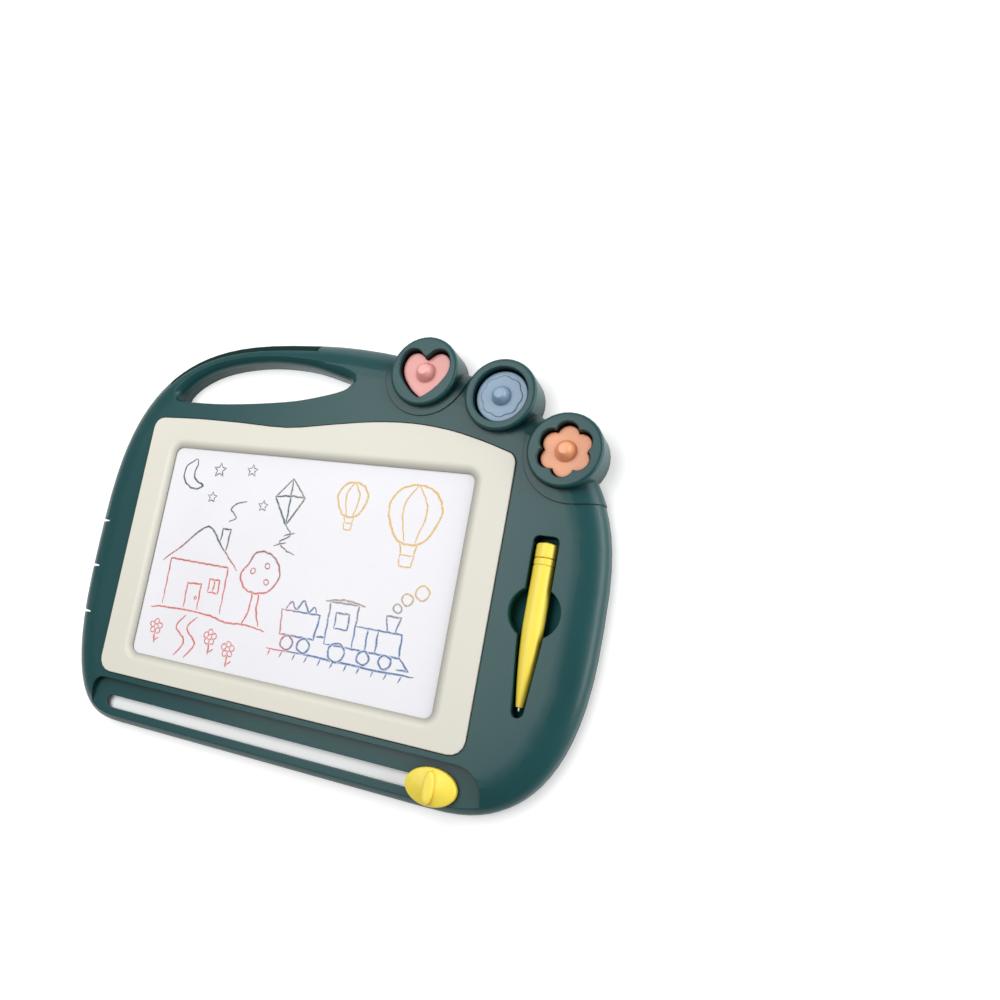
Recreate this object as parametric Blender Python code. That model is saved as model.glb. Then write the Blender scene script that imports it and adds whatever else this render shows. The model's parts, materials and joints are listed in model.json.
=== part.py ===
# Children's magnetic drawing board, lying on its back with the screen up.
# Metres. +X runs to the pen side, +Y to the carrying handle, +Z up from the table.
# Every outline below is drawn about the middle of the screen; the root empty then moves
# the board so that the middle of its box stands on the origin.

import math

import bmesh
import bpy

# Gaps between pieces
CLEAR = 0.0003
OVERRUN = 0.004

# Screen and the magnetic drawing panel behind it
SCREEN_W = 0.255
SCREEN_H = 0.166
SCREEN_CORNER = 0.006
PANEL_SIDE = 0.022
PANEL_HEAD = 0.009
PANEL_CORNER = 0.004
PANEL_LIP = 0.003
PANEL_LIP_T = 0.0012
PANEL_FIT = 0.0005
FILM_T = 0.0004
CORE_T = 0.0026

# Bezel, whose top edge rises in one wave towards the rings
BEZEL_SIDE = 0.0265
BEZEL_FOOT = 0.019
BEZEL_HEAD = 0.022
BEZEL_WAVE = 0.0099
BEZEL_FOOT_CORNER = 0.011
BEZEL_HEAD_CORNER = 0.009
BEZEL_T = 0.0032
BEZEL_PROUD = 0.0012
BEZEL_EDGE = 0.0009
BEZEL_FIT = 0.0005
BEZEL_SLOPE_W = 0.0068
BEZEL_LIP_T = 0.0007
WAVE_SHARES = (
    (0.91, 0.16),
    (0.83, 0.72),
    (0.74, 1.0),
    (0.64, 0.90),
    (0.53, 0.48),
    (0.41, 0.0),
    (0.27, 0.12),
    (0.14, 0.18),
)
WAVE_END_SHARE = -0.45
WAVE_START_SHARE = 0.10

# Body, the size of its bands round the bezel, and its soft shoulder
LEFT_BAND = 0.0395
RIGHT_BAND = 0.0706
FOOT_BAND = 0.0375
HANDLE_BAND = 0.070
BODY_T = 0.020
SHOULDER_W = 0.024
SHOULDER_H = 0.012
WALL = 0.0022
SKIRT_LIFT = 0.0004
OUTLINE_STEP = 0.030
OUTLINE_TURN = 6.5
SHOULDER_STEPS = 5
HIDDEN_STEPS = 3
SIDE_SHARE = 0.43
TOP_SHARE = 0.42
FOOT_START_SHARE = 0.152
FOOT_END_SHARE = 0.774
# Roundness of each quarter of the outline, at its start and its end, running from the
# right-hand side over the top: two is a quarter ellipse, more is squarer.
RIGHT_TOP_POWERS = (2.75, 1.95)
LEFT_TOP_POWERS = (3.05, 3.05)
LEFT_FOOT_POWERS = (2.7, 2.8)
RIGHT_FOOT_POWERS = (2.7, 2.6)

# Handle hole, the soft edge of the grip above it and the step along the grip's rim
GRIP_W = 0.0167
GRIP_END_W = 0.0533
HOLE_W = 0.1575
HOLE_H = 0.0373
HOLE_FLARE_W = 0.010
HOLE_FLARE_H = 0.009
HOLE_EDGE = 0.0010
HOLE_SPLIT = 0.0080
HOLE_SHARES = (
    (0.004, 0.07),
    (0.027, 0.01),
    (0.13, 0.0),
    (0.27, 0.0),
    (0.43, 0.035),
    (0.60, 0.10),
    (0.73, 0.17),
    (0.84, 0.27),
    (0.94, 0.385),
    (0.99, 0.48),
    (1.0, 0.58),
    (0.97, 0.685),
    (0.88, 0.80),
    (0.76, 0.925),
    (0.63, 0.99),
    (0.50, 1.0),
    (0.37, 0.95),
    (0.25, 0.85),
    (0.15, 0.70),
    (0.06, 0.47),
    (0.008, 0.23),
)
REBATE_W = 0.0070
REBATE_FLOOR = 0.0122
REBATE_START_SHARE = 0.10
REBATE_END_SHARE = 0.42

# Grip grooves in the left shoulder
NOTCH_Y = -0.0215
NOTCH_PITCH = 0.0377
NOTCH_W = 0.0050
NOTCH_DEPTH = 0.0185
NOTCH_FLOOR = 0.0048
NOTCH_SHARES = ((0.0, 1.0), (0.13, 0.52), (0.45, 0.34), (1.0, 0.0))

# Rings that hold the stamps, and the raised pads round two of them
RING_WALL = 0.00605
RING_RISE = 0.0065
RING_ROUND = 0.0022
RING_GAP = 0.0103
RING_BOW = 0.0111
RING_EDGE_GAP = 0.0067
RING_HEAD_GAP = 0.0121
RING_DROP = 0.0201
PAD_RISE = 0.0009
HEART_PAD_W = 0.0060
FLOWER_PAD_W = 0.0088
FLOWER_PAD_SHIFT = 0.0055
FLOWER_PAD_REACH = 0.010
FLOWER_PAD_LIFT = 0.0065

# Stamps
STAMP_FIT = 0.0010
STAMP_PROUD = 0.0010
STAMP_T = 0.0069
STAMP_ROUND = 0.0009
STAMP_MAGNET_T = 0.0015
STAMP_MAGNET_INSET = 0.0012
WELL_CHAMFER = 0.0006
STAMP_KNOB_R = 0.0075
STAMP_KNOB_H = 0.0078
HEART_W = 0.0360
HEART_H = 0.0336
HEART_DROP = 0.0020
HEART_SHARES = (
    (0.0, 0.84),
    (0.10, 0.875),
    (0.26, 0.96),
    (0.50, 1.0),
    (0.75, 0.96),
    (0.93, 0.84),
    (1.0, 0.66),
    (0.92, 0.48),
    (0.68, 0.285),
    (0.37, 0.12),
    (0.09, 0.015),
    (0.0, 0.0),
)
DISC_R = 0.0181
BADGE_R = 0.0148
BADGE_RISE = 0.0006
BADGE_LOBES = 8
BADGE_LOBE_SHARE = 0.09
FLOWER_R = 0.0176
FLOWER_PETALS = 6
FLOWER_PETAL_SHARE = 0.2
PETAL_POWER = 0.75

# Pen tray with the round finger pocket across it
TRAY_EDGE_GAP = 0.0292
TRAY_HEAD = 0.0469
TRAY_SIDE_GAP = 0.0016
TRAY_FOOT_GAP = 0.0034
TRAY_TIP_R = 0.0043
TRAY_CORNER = 0.004
TRAY_TAPER_GAP = 0.004
PEN_PROUD = 0.0015
FINGER_R = 0.0172
FINGER_SHIFT = 0.0498

# Pen
PEN_L = 0.110
PEN_R = 0.0070
PEN_HEAD_GAP = 0.0034
PEN_NOSE_R = 0.0026
PEN_TAPER_L = 0.052
PEN_TAPER_POWER = 1.7
PEN_CAP_L = 0.0107
PEN_CAP_ROUND = 0.0013
PEN_BAND_L = 0.0046
PEN_GROOVE = 0.0005
PEN_BORE_R = 0.0049
PEN_BORE_END = 0.040
SPIGOT_L = 0.008
TIP_L = 0.0035
TIP_R = 0.0014
TIP_STEM_R = 0.0009
PEN_MAGNET_START = 0.012
PEN_MAGNET_L = 0.008
PEN_MAGNET_R = 0.0020

# Ledge and slot that the eraser runs along
LEDGE_GAP = 0.0047
LEDGE_DROP = 0.0048
LEDGE_LEFT_INSET = 0.0359
LEDGE_RIGHT_INSET = 0.0558
LEDGE_LEFT_CORNER = 0.010
LEDGE_RIGHT_CORNER = 0.018
SLOT_W = 0.0097
SLOT_FOOT_GAP = 0.0152
ERASER_OVERTRAVEL = 0.0081
RAIL_BORDER = 0.0015
RAIL_PLATE_T = 0.0015
RAIL_REACH = 0.006

# Eraser: the knob, the carriage under the skin and the bar behind the panel
KNOB_W = 0.0359
KNOB_D = 0.0248
KNOB_INSET = 0.0015
KNOB_SIDE_H = 0.0030
KNOB_CROWN = 0.0026
KNOB_ROUND = 0.0016
RIDGE_W = 0.0082
RIDGE_D = 0.0215
RIDGE_H = 0.0028
RIDGE_ROUND = 0.0026
NECK_W = 0.0160
SLIDE_FIT = 0.00035
PAD_T = 0.0024
PAD_D = 0.0155
PAD_CORNER = 0.0045
ARM_W = 0.022
ARM_T = 0.0023
BAR_W = 0.011
BAR_T = 0.0028
BAR_END_GAP = 0.0025
MAGNET_W = 0.008
MAGNET_T = 0.0016
MAGNET_GAP = 0.0005
MAGNET_END_GAP = 0.002
KNOB_SCREW_R = 0.0012
KNOB_SCREW_HEAD_R = 0.0028
KNOB_SCREW_HEAD_T = 0.0012
KNOB_SCREW_BITE = 0.0042

# Back cover and its screws
COVER_T = 0.0022
COVER_FIT = 0.0004
COLLAR_T = 0.0020
RIB_T = 0.0020
GUIDE_SPREAD = 0.124
SCREW_R = 0.0013
SCREW_HEAD_R = 0.0028
SCREW_HEAD_T = 0.0018
SCREW_HEAD_FIT = 0.0005
SCREW_RECESS = 0.0048
SCREW_BITE = 0.0070
BOSS_R = 0.0052
BOSS_H = 0.0070
POST_R = 0.0036
POST_MARGIN = 0.0014
PEN_POST_SHARE = 0.25

# Number of points on turned shapes, in plain sight, on small pieces and out of sight
ROUND_POINTS = 36
PEN_POINTS = 24
KNOB_POINTS = 20
HIDDEN_POINTS = 24
SMALL_POINTS = 12
CORNER_STEPS = 4

# Lengths that follow from others: the rings fit the round stamp, the tray fits the pen, and
# the eraser's run takes its bar past both sides of the screen
RING_R = DISC_R + STAMP_FIT + RING_WALL
TRAY_L = PEN_HEAD_GAP + PEN_L + TRAY_FOOT_GAP
TRAY_HALF_W = PEN_R + TRAY_SIDE_GAP
TRAY_TAPER_L = PEN_TAPER_L - TRAY_TAPER_GAP
TRAY_DEPTH = 2 * PEN_R - PEN_PROUD
SLOT_RUN = SCREEN_W + 2 * ERASER_OVERTRAVEL

# Edges of the bezel and of the body, about the middle of the screen
SCREEN_TOP = SCREEN_H / 2
SCREEN_FOOT = -SCREEN_H / 2
BEZEL_RIGHT = SCREEN_W / 2 + BEZEL_SIDE
BEZEL_LEFT = -BEZEL_RIGHT
BEZEL_BOTTOM = SCREEN_FOOT - BEZEL_FOOT
BEZEL_DIP = SCREEN_TOP + BEZEL_HEAD
BEZEL_CREST = BEZEL_DIP + BEZEL_WAVE
BODY_LEFT = BEZEL_LEFT - LEFT_BAND
BODY_RIGHT = BEZEL_RIGHT + RIGHT_BAND
BODY_FOOT = BEZEL_BOTTOM - FOOT_BAND
BODY_TOP = BEZEL_DIP + HANDLE_BAND
BODY_W = BODY_RIGHT - BODY_LEFT
BODY_H = BODY_TOP - BODY_FOOT

# Heights of the panel, from the bezel down
BEZEL_TOP = BODY_T + BEZEL_PROUD
BEZEL_BASE = BEZEL_TOP - BEZEL_T
BEZEL_SEAT = BEZEL_BASE - CLEAR
FRONT_FILM_TOP = BEZEL_BASE - CLEAR
CORE_TOP = FRONT_FILM_TOP - FILM_T - CLEAR
BACK_FILM_TOP = CORE_TOP - CORE_T - CLEAR
BACK_FILM_BASE = BACK_FILM_TOP - FILM_T
PANEL_SEAT = BACK_FILM_BASE - CLEAR
FRAME_BASE = PANEL_SEAT - PANEL_LIP_T

# Heights of the eraser
LEDGE_TOP = BODY_T - LEDGE_DROP
PAD_TOP = LEDGE_TOP - WALL - CLEAR
PAD_BASE = PAD_TOP - PAD_T
RAIL_TOP = PAD_BASE - CLEAR
KNOB_BASE = LEDGE_TOP + CLEAR
ARM_TOP = FRAME_BASE - CLEAR
MAGNET_TOP = BACK_FILM_BASE - MAGNET_GAP
MAGNET_BASE = MAGNET_TOP - MAGNET_T
BAR_TOP = MAGNET_BASE - CLEAR
BAR_BASE = BAR_TOP - BAR_T

# Heights of the rings, stamps, tray and screws
RING_TOP = BODY_T + RING_RISE
STAMP_BASE = BODY_T + STAMP_PROUD - STAMP_T
STAMP_MAGNET_BASE = STAMP_BASE - CLEAR - STAMP_MAGNET_T
WELL_FLOOR = STAMP_MAGNET_BASE - CLEAR
TRAY_FLOOR = BODY_T - TRAY_DEPTH
PEN_AXIS = TRAY_FLOOR + CLEAR + PEN_R
POST_BASE = BOSS_H + CLEAR
SCREW_SEAT = SCREW_RECESS - CLEAR

# Places of the slot, the tray and the handle hole
SLOT_Y = BODY_FOOT + SLOT_FOOT_GAP
LEDGE_LEFT = BODY_LEFT + LEDGE_LEFT_INSET
LEDGE_RIGHT = BODY_RIGHT - LEDGE_RIGHT_INSET
LEDGE_EDGE = BEZEL_BOTTOM - LEDGE_GAP
KNOB_X = SLOT_RUN / 2
SLOT_LEFT = KNOB_X - SLOT_RUN - NECK_W / 2 - SLIDE_FIT
SLOT_RIGHT = KNOB_X + NECK_W / 2 + SLIDE_FIT
TRAY_X = BEZEL_RIGHT + TRAY_EDGE_GAP
TRAY_FOOT = TRAY_HEAD - TRAY_L
FINGER_Y = TRAY_HEAD - FINGER_SHIFT
HOLE_LEFT = BODY_LEFT + GRIP_END_W
HOLE_RIGHT = HOLE_LEFT + HOLE_W
HOLE_TOP = BODY_TOP - GRIP_W
HOLE_FOOT = HOLE_TOP - HOLE_H


def ring_centres():
    """Middles of the heart, round and flower rings, evenly spaced along one shallow arc."""
    pitch = 2 * RING_R + RING_GAP
    chord = 2 * math.sqrt(pitch**2 - RING_BOW**2)
    flower = (BEZEL_RIGHT + RING_EDGE_GAP + RING_R, SCREEN_TOP + RING_DROP)
    heart_y = BEZEL_CREST + RING_HEAD_GAP + RING_R
    rise = heart_y - flower[1]
    run = math.sqrt(chord**2 - rise**2)
    heart = (flower[0] - run, heart_y)
    disc = (
        (heart[0] + flower[0]) / 2 + RING_BOW * rise / chord,
        (heart[1] + flower[1]) / 2 + RING_BOW * run / chord,
    )
    return heart, disc, flower


HEART_RING, DISC_RING, FLOWER_RING = ring_centres()
BOX_TOP = max(BODY_TOP, HEART_RING[1] + RING_R)


# Outlines

def arc(x, y, radius, start, end, steps):
    """Points of an arc, with its angles in degrees."""
    angles = [math.radians(start + (end - start) * i / steps) for i in range(steps + 1)]
    return [(x + radius * math.cos(a), y + radius * math.sin(a)) for a in angles]


def circle(x, y, radius, points=ROUND_POINTS):
    return arc(x, y, radius, 0, 360, points)[:-1]


def rounded_box(left, foot, right, top, radius):
    steps = CORNER_STEPS
    return (
        arc(right - radius, foot + radius, radius, -90, 0, steps)
        + arc(right - radius, top - radius, radius, 0, 90, steps)
        + arc(left + radius, top - radius, radius, 90, 180, steps)
        + arc(left + radius, foot + radius, radius, 180, 270, steps)
    )


def box(left, foot, right, top):
    return [(left, foot), (right, foot), (right, top), (left, top)]


def smooth(points, steps, closed):
    """A Catmull-Rom curve through the points."""
    count = len(points)
    if closed:
        ends = points[-1:] + points + points[:2]
    else:
        ends = points[:1] + points + points[-1:]
    spans = count if closed else count - 1
    found = []
    for i in range(spans):
        a, b, c, d = ends[i : i + 4]
        for step in range(steps):
            t = step / steps
            found.append(
                tuple(
                    b[k]
                    + t * (c[k] - a[k]) / 2
                    + t**2 * (2 * a[k] - 5 * b[k] + 4 * c[k] - d[k]) / 2
                    + t**3 * (3 * b[k] - a[k] - 3 * c[k] + d[k]) / 2
                    for k in range(2)
                )
            )
    if not closed:
        found.append(points[-1])
    return found


def resampled(points):
    """The same open line with fewer points, closer together where it turns more."""
    weights = [0]
    heading = None
    for a, b in zip(points, points[1:]):
        turned_to = math.atan2(b[1] - a[1], b[0] - a[0])
        turn = 0 if heading is None else abs(math.remainder(turned_to - heading, math.tau))
        heading = turned_to
        steps = math.dist(a, b) / OUTLINE_STEP + math.degrees(turn) / OUTLINE_TURN
        weights.append(weights[-1] + steps)
    count = max(2, round(weights[-1]))
    found = [points[0]]
    at = 0
    for i in range(1, count):
        wanted = weights[-1] * i / count
        while weights[at + 1] < wanted:
            at += 1
        share = (wanted - weights[at]) / (weights[at + 1] - weights[at])
        a, b = points[at], points[at + 1]
        found.append((a[0] + share * (b[0] - a[0]), a[1] + share * (b[1] - a[1])))
    return found + [points[-1]]


def normals(points):
    """Outward normals of a closed outline that runs counterclockwise."""
    found = []
    for i, point in enumerate(points):
        before, after = points[i - 1], points[(i + 1) % len(points)]
        into = (point[0] - before[0], point[1] - before[1])
        out = (after[0] - point[0], after[1] - point[1])
        into_length, out_length = math.hypot(*into), math.hypot(*out)
        x = into[1] / into_length + out[1] / out_length
        y = -into[0] / into_length - out[0] / out_length
        square = x * x + y * y
        found.append((2 * x / square, 2 * y / square))
    return found


def grown(points, distance):
    """The outline moved outward by a distance, or inward by a negative one."""
    moved = zip(points, normals(points))
    return [(p[0] + n[0] * distance, p[1] + n[1] * distance) for p, n in moved]


def halfway(points):
    """The closed outline through the middles of another one's sides."""
    pairs = zip(points, points[1:] + points[:1])
    return [((a[0] + b[0]) / 2, (a[1] + b[1]) / 2) for a, b in pairs]


def quarter(x, y, half_w, half_h, powers, quadrant):
    """A quarter of a squared ellipse, whose roundness changes evenly along it."""
    fine = 90
    found = []
    for i in range(fine + 1):
        share = i / fine
        power = powers[0] + (powers[1] - powers[0]) * share
        angle = math.radians(90 * (quadrant + share))
        across, up = math.cos(angle), math.sin(angle)
        found.append(
            (
                x + math.copysign(half_w * abs(across) ** (2 / power), across),
                y + math.copysign(half_h * abs(up) ** (2 / power), up),
            )
        )
    return resampled(found)


def body_outline():
    """The body seen from above, counterclockwise from its right-hand side, without the rings."""
    side_y = BODY_FOOT + SIDE_SHARE * BODY_H
    top_x = BODY_LEFT + TOP_SHARE * BODY_W
    start_x = BODY_LEFT + FOOT_START_SHARE * BODY_W
    end_x = BODY_LEFT + FOOT_END_SHARE * BODY_W
    over, under = BODY_TOP - side_y, side_y - BODY_FOOT
    right_top = quarter(top_x, side_y, BODY_RIGHT - top_x, over, RIGHT_TOP_POWERS, 0)
    left_top = quarter(top_x, side_y, top_x - BODY_LEFT, over, LEFT_TOP_POWERS, 1)
    left_foot = quarter(start_x, side_y, start_x - BODY_LEFT, under, LEFT_FOOT_POWERS, 2)
    right_foot = quarter(end_x, side_y, BODY_RIGHT - end_x, under, RIGHT_FOOT_POWERS, 3)
    foot = resampled([left_foot[-1], right_foot[0]])
    return right_top[:-1] + left_top[:-1] + left_foot[:-1] + foot[:-1] + right_foot[:-1]


BODY_OUTLINE = body_outline()


def bezel_outline():
    width = BEZEL_RIGHT - BEZEL_LEFT
    foot, head = BEZEL_FOOT_CORNER, BEZEL_HEAD_CORNER
    right_end = BEZEL_DIP + WAVE_END_SHARE * BEZEL_WAVE
    left_end = BEZEL_DIP + WAVE_START_SHARE * BEZEL_WAVE
    right_corner = arc(BEZEL_RIGHT - head, right_end - head, head, 0, 60, CORNER_STEPS)
    left_corner = arc(BEZEL_LEFT + head, left_end - head, head, 90, 180, CORNER_STEPS)
    wave = [
        (BEZEL_LEFT + across * width, BEZEL_DIP + rise * BEZEL_WAVE)
        for across, rise in WAVE_SHARES
    ]
    top = smooth([right_corner[-1]] + wave + [left_corner[0]], 3, closed=False)
    return (
        arc(BEZEL_RIGHT - foot, BEZEL_BOTTOM + foot, foot, -90, 0, CORNER_STEPS)
        + right_corner[:-1]
        + top
        + left_corner[1:]
        + arc(BEZEL_LEFT + foot, BEZEL_BOTTOM + foot, foot, 180, 270, CORNER_STEPS)
    )


def screen_outline(growth):
    half_w, half_h = SCREEN_W / 2 + growth, SCREEN_H / 2 + growth
    return rounded_box(-half_w, -half_h, half_w, half_h, SCREEN_CORNER + growth)


def panel_outline(growth):
    half_w = SCREEN_W / 2 + PANEL_SIDE + growth
    half_h = SCREEN_H / 2 + PANEL_HEAD + growth
    return rounded_box(-half_w, -half_h, half_w, half_h, PANEL_CORNER)


def hole_outline():
    points = [(HOLE_LEFT + x * HOLE_W, HOLE_FOOT + y * HOLE_H) for x, y in HOLE_SHARES]
    return smooth(points, 2, closed=True)


def ledge_outline():
    """The ledge's cut, which runs out past the foot of the body."""
    left, right = LEDGE_LEFT_CORNER, LEDGE_RIGHT_CORNER
    foot = BODY_FOOT - OVERRUN
    return (
        [(LEDGE_LEFT, foot), (LEDGE_RIGHT, foot)]
        + arc(LEDGE_RIGHT - right, LEDGE_EDGE - right, right, 0, 90, 2 * CORNER_STEPS)
        + arc(LEDGE_LEFT + left, LEDGE_EDGE - left, left, 90, 180, CORNER_STEPS)
    )


def slot_outline(half_w, left, right):
    steps = 2 * CORNER_STEPS
    right_end = arc(right - half_w, SLOT_Y, half_w, -90, 90, steps)
    return right_end + arc(left + half_w, SLOT_Y, half_w, 90, 270, steps)


def tray_outline(growth):
    """The pen's trough: round head corners, straight sides, then a taper to a round tip."""
    half_w, tip = TRAY_HALF_W + growth, TRAY_TIP_R + growth
    head, corner = TRAY_HEAD + growth, TRAY_CORNER + growth
    tip_y = TRAY_FOOT + TRAY_TIP_R
    taper_y = tip_y + TRAY_TAPER_L
    return (
        arc(TRAY_X, tip_y, tip, 187, 353, 2 * CORNER_STEPS)
        + [(TRAY_X + half_w, taper_y)]
        + arc(TRAY_X + half_w - corner, head - corner, corner, 0, 90, CORNER_STEPS)
        + arc(TRAY_X - half_w + corner, head - corner, corner, 90, 180, CORNER_STEPS)
        + [(TRAY_X - half_w, taper_y)]
    )


def heart(growth):
    """Heart about its ring's middle, with the point towards the foot of the board."""
    half_w, height = HEART_W / 2 + growth, HEART_H + 2 * growth
    foot = -HEART_H / 2 - HEART_DROP - growth
    right = [(x * half_w, foot + y * height) for x, y in HEART_SHARES]
    lobe = smooth(right[:-1], 2, closed=False) + right[-1:]
    left = [(-x, y) for x, y in lobe[1:-1]]
    return (lobe + left[::-1])[::-1]


def disc(growth):
    return circle(0, 0, DISC_R + growth)


def petals(radius, count, depth_share, power, points):
    """A round outline with that many equal lobes, one of them at the top."""
    found = []
    for i in range(points):
        angle = 2 * math.pi * i / points
        swell = abs(math.cos(count * (angle - math.pi / 2) / 2)) ** power
        reach = radius * (1 - depth_share + depth_share * swell)
        found.append((reach * math.cos(angle), reach * math.sin(angle)))
    return found


def flower(growth):
    points = 8 * FLOWER_PETALS
    return petals(FLOWER_R + growth, FLOWER_PETALS, FLOWER_PETAL_SHARE, PETAL_POWER, points)


def badge(growth):
    return petals(BADGE_R + growth, BADGE_LOBES, BADGE_LOBE_SHARE, 1, 6 * BADGE_LOBES)


def moved(points, to):
    return [(x + to[0], y + to[1]) for x, y in points]


# Solids

def new_object(name, vertices, faces):
    mesh = bpy.data.meshes.new(name)
    mesh.from_pydata(vertices, [], faces)
    made = bpy.data.objects.new(name, mesh)
    bpy.context.collection.objects.link(made)
    return made


def loft(name, levels):
    """A closed solid through a stack of outlines, each with its height."""
    count = len(levels[0][0])
    vertices = [(x, y, z) for outline, z in levels for x, y in outline]
    faces = [tuple(range(count))[::-1]]
    for level in range(len(levels) - 1):
        low, high = level * count, (level + 1) * count
        straight = levels[level][0] is levels[level + 1][0]
        for i in range(count):
            j = (i + 1) % count
            if straight:
                faces.append((low + i, low + j, high + j, high + i))
            else:
                faces += [(low + i, low + j, high + j), (low + i, high + j, high + i)]
    top = (len(levels) - 1) * count
    faces.append(tuple(range(top, top + count)))
    return new_object(name, vertices, faces)


def prism(name, outline, low, high):
    return loft(name, [(outline, low), (outline, high)])


def turned(name, profile, points=ROUND_POINTS, ring=False):
    """A solid turned about Z from (radius, height) points that run upwards on its outside.
    A ring's profile closes on itself; any other starts and ends on the axis."""
    vertices = []
    rows = []
    for radius, height in profile:
        if radius == 0:
            rows.append([len(vertices)] * points)
            vertices.append((0, 0, height))
            continue
        rows.append(list(range(len(vertices), len(vertices) + points)))
        vertices += [(x, y, height) for x, y in circle(0, 0, radius, points)]
    pairs = list(zip(rows, rows[1:])) + ([(rows[-1], rows[0])] if ring else [])
    faces = []
    for low, high in pairs:
        for i in range(points):
            j = (i + 1) % points
            corners = (low[i], low[j], high[j], high[i])
            faces.append(tuple(dict.fromkeys(corners)))
    return new_object(name, vertices, faces)


def combine(target, tool, operation):
    """One exact Boolean, made real at once, which uses up the tool."""
    modifier = target.modifiers.new(operation.lower(), "BOOLEAN")
    modifier.operation = operation
    modifier.solver = "EXACT"
    modifier.object = tool
    graph = bpy.context.evaluated_depsgraph_get()
    result = bpy.data.meshes.new_from_object(target.evaluated_get(graph))
    old = target.data
    target.modifiers.clear()
    target.data = result
    bpy.data.meshes.remove(old)
    result.name = target.name
    tool_mesh = tool.data
    bpy.data.objects.remove(tool)
    bpy.data.meshes.remove(tool_mesh)


def cut(target, tool):
    combine(target, tool, "DIFFERENCE")


def join(target, tool):
    combine(target, tool, "UNION")


def common(target, tool):
    combine(target, tool, "INTERSECT")


def linear(level):
    """A colour level from 0 to 255 as the light that Blender's shaders count in."""
    value = level / 255
    return value / 12.92 if value <= 0.04045 else ((value + 0.055) / 1.055) ** 2.4


def merge_flat_faces(mesh):
    """Neighbouring faces in one plane become one face."""
    work = bmesh.new()
    work.from_mesh(mesh)
    flat = math.radians(0.5)
    bmesh.ops.dissolve_limit(work, angle_limit=flat, verts=work.verts, edges=work.edges)
    work.to_mesh(mesh)
    work.free()


def finish(made, colour, roughness, metallic=0.0):
    """Smooth shading between soft angles, and the piece's own material."""
    merge_flat_faces(made.data)
    made.data.shade_smooth()
    made.data.set_sharp_from_angle(angle=math.radians(35))
    material = bpy.data.materials.new(made.name)
    material.use_nodes = True
    shader = material.node_tree.nodes["Principled BSDF"]
    shader.inputs["Base Color"].default_value = (*map(linear, colour), 1)
    shader.inputs["Roughness"].default_value = roughness
    shader.inputs["Metallic"].default_value = metallic
    made.data.materials.clear()
    made.data.materials.append(material)
    return made


GREEN = (70, 104, 102)
CREAM = (229, 227, 213)
WHITE = (240, 243, 243)
GREY = (150, 146, 150)
FILM_WHITE = (243, 243, 248)
CORE_WHITE = (226, 228, 232)
YELLOW = (247, 221, 92)
PINK = (242, 178, 174)
BLUE = (146, 170, 190)
PEACH = (246, 179, 140)
RUBBER = (44, 44, 46)
STEEL = (196, 198, 202)


# The front shell

def shoulder(skin, foot, steps=SHOULDER_STEPS):
    """Levels of the body's outside, or of a surface a skin's depth inside it."""
    base = BODY_T - SHOULDER_H
    wall = grown(BODY_OUTLINE, -skin)
    levels = [(wall, foot), (wall, base)]
    for step in range(1, steps + 1):
        angle = math.radians(90 * step / steps)
        inset = skin + (SHOULDER_W - skin) * (1 - math.cos(angle))
        height = base + (SHOULDER_H - skin) * math.sin(angle)
        levels.append((grown(BODY_OUTLINE, -inset), height))
    return levels


def ring_column(centre):
    """The wall that holds a stamp, with a rounded top edge."""
    levels = [(circle(*centre, RING_R), SKIRT_LIFT)]
    for step in range(4):
        angle = math.radians(30 * step)
        radius = RING_R - RING_ROUND * (1 - math.cos(angle))
        height = RING_TOP - RING_ROUND * (1 - math.sin(angle))
        levels.append((circle(*centre, radius), height))
    return loft("ring column", levels)


def pad_outlines():
    """Plan of the raised pads round the heart ring and the flower ring."""
    heart_pad = circle(*HEART_RING, RING_R + HEART_PAD_W)
    x, y = FLOWER_RING[0] + FLOWER_PAD_SHIFT, FLOWER_RING[1]
    reach = RING_R + FLOWER_PAD_W
    beyond = BODY_RIGHT + OVERRUN
    top = y + FLOWER_PAD_REACH
    flower_pad = arc(x, y, reach, 180, 280, 3 * CORNER_STEPS)
    flower_pad += [(beyond, y - reach + FLOWER_PAD_LIFT), (beyond, top), (x - reach, top)]
    return heart_pad, flower_pad


def hole_levels(growth, foot, top, steps=SHOULDER_STEPS):
    """The handle hole, which opens out softly under the grip as it nears the face."""
    plan = hole_outline()
    flares = []
    for point, (_, up) in zip(plan, normals(plan)):
        share = max(0, min(1, up)) ** 0.5
        flares.append(HOLE_EDGE + (HOLE_FLARE_W - HOLE_EDGE) * share)
    start = max(foot, BODY_T - HOLE_FLARE_H - growth)
    wall = grown(plan, growth)
    levels = [(wall, foot), (wall, start)] if start > foot else [(wall, foot)]
    for step in range(1, steps + 1):
        angle = math.radians(90 * step / steps)
        opened = []
        for point, normal, flare in zip(plan, normals(plan), flares):
            reach = growth + flare * (1 - math.cos(angle))
            opened.append((point[0] + normal[0] * reach, point[1] + normal[1] * reach))
        levels.append((opened, start + (BODY_T - growth - start) * math.sin(angle)))
    levels.append((opened, top))
    return levels


def rebate_band(depth, margin, floor, top):
    """The step along the outer rim of the grip."""
    first = BODY_LEFT + REBATE_START_SHARE * BODY_W - margin
    last = BODY_LEFT + REBATE_END_SHARE * BODY_W + margin
    middle = (BODY_FOOT + BODY_TOP) / 2
    band = prism("rebate", box(first, middle, last, BODY_TOP + OVERRUN), floor, top)
    kept = grown(halfway(BODY_OUTLINE), -depth)
    cut(band, prism("kept", kept, 0, top + OVERRUN))
    return band


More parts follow.
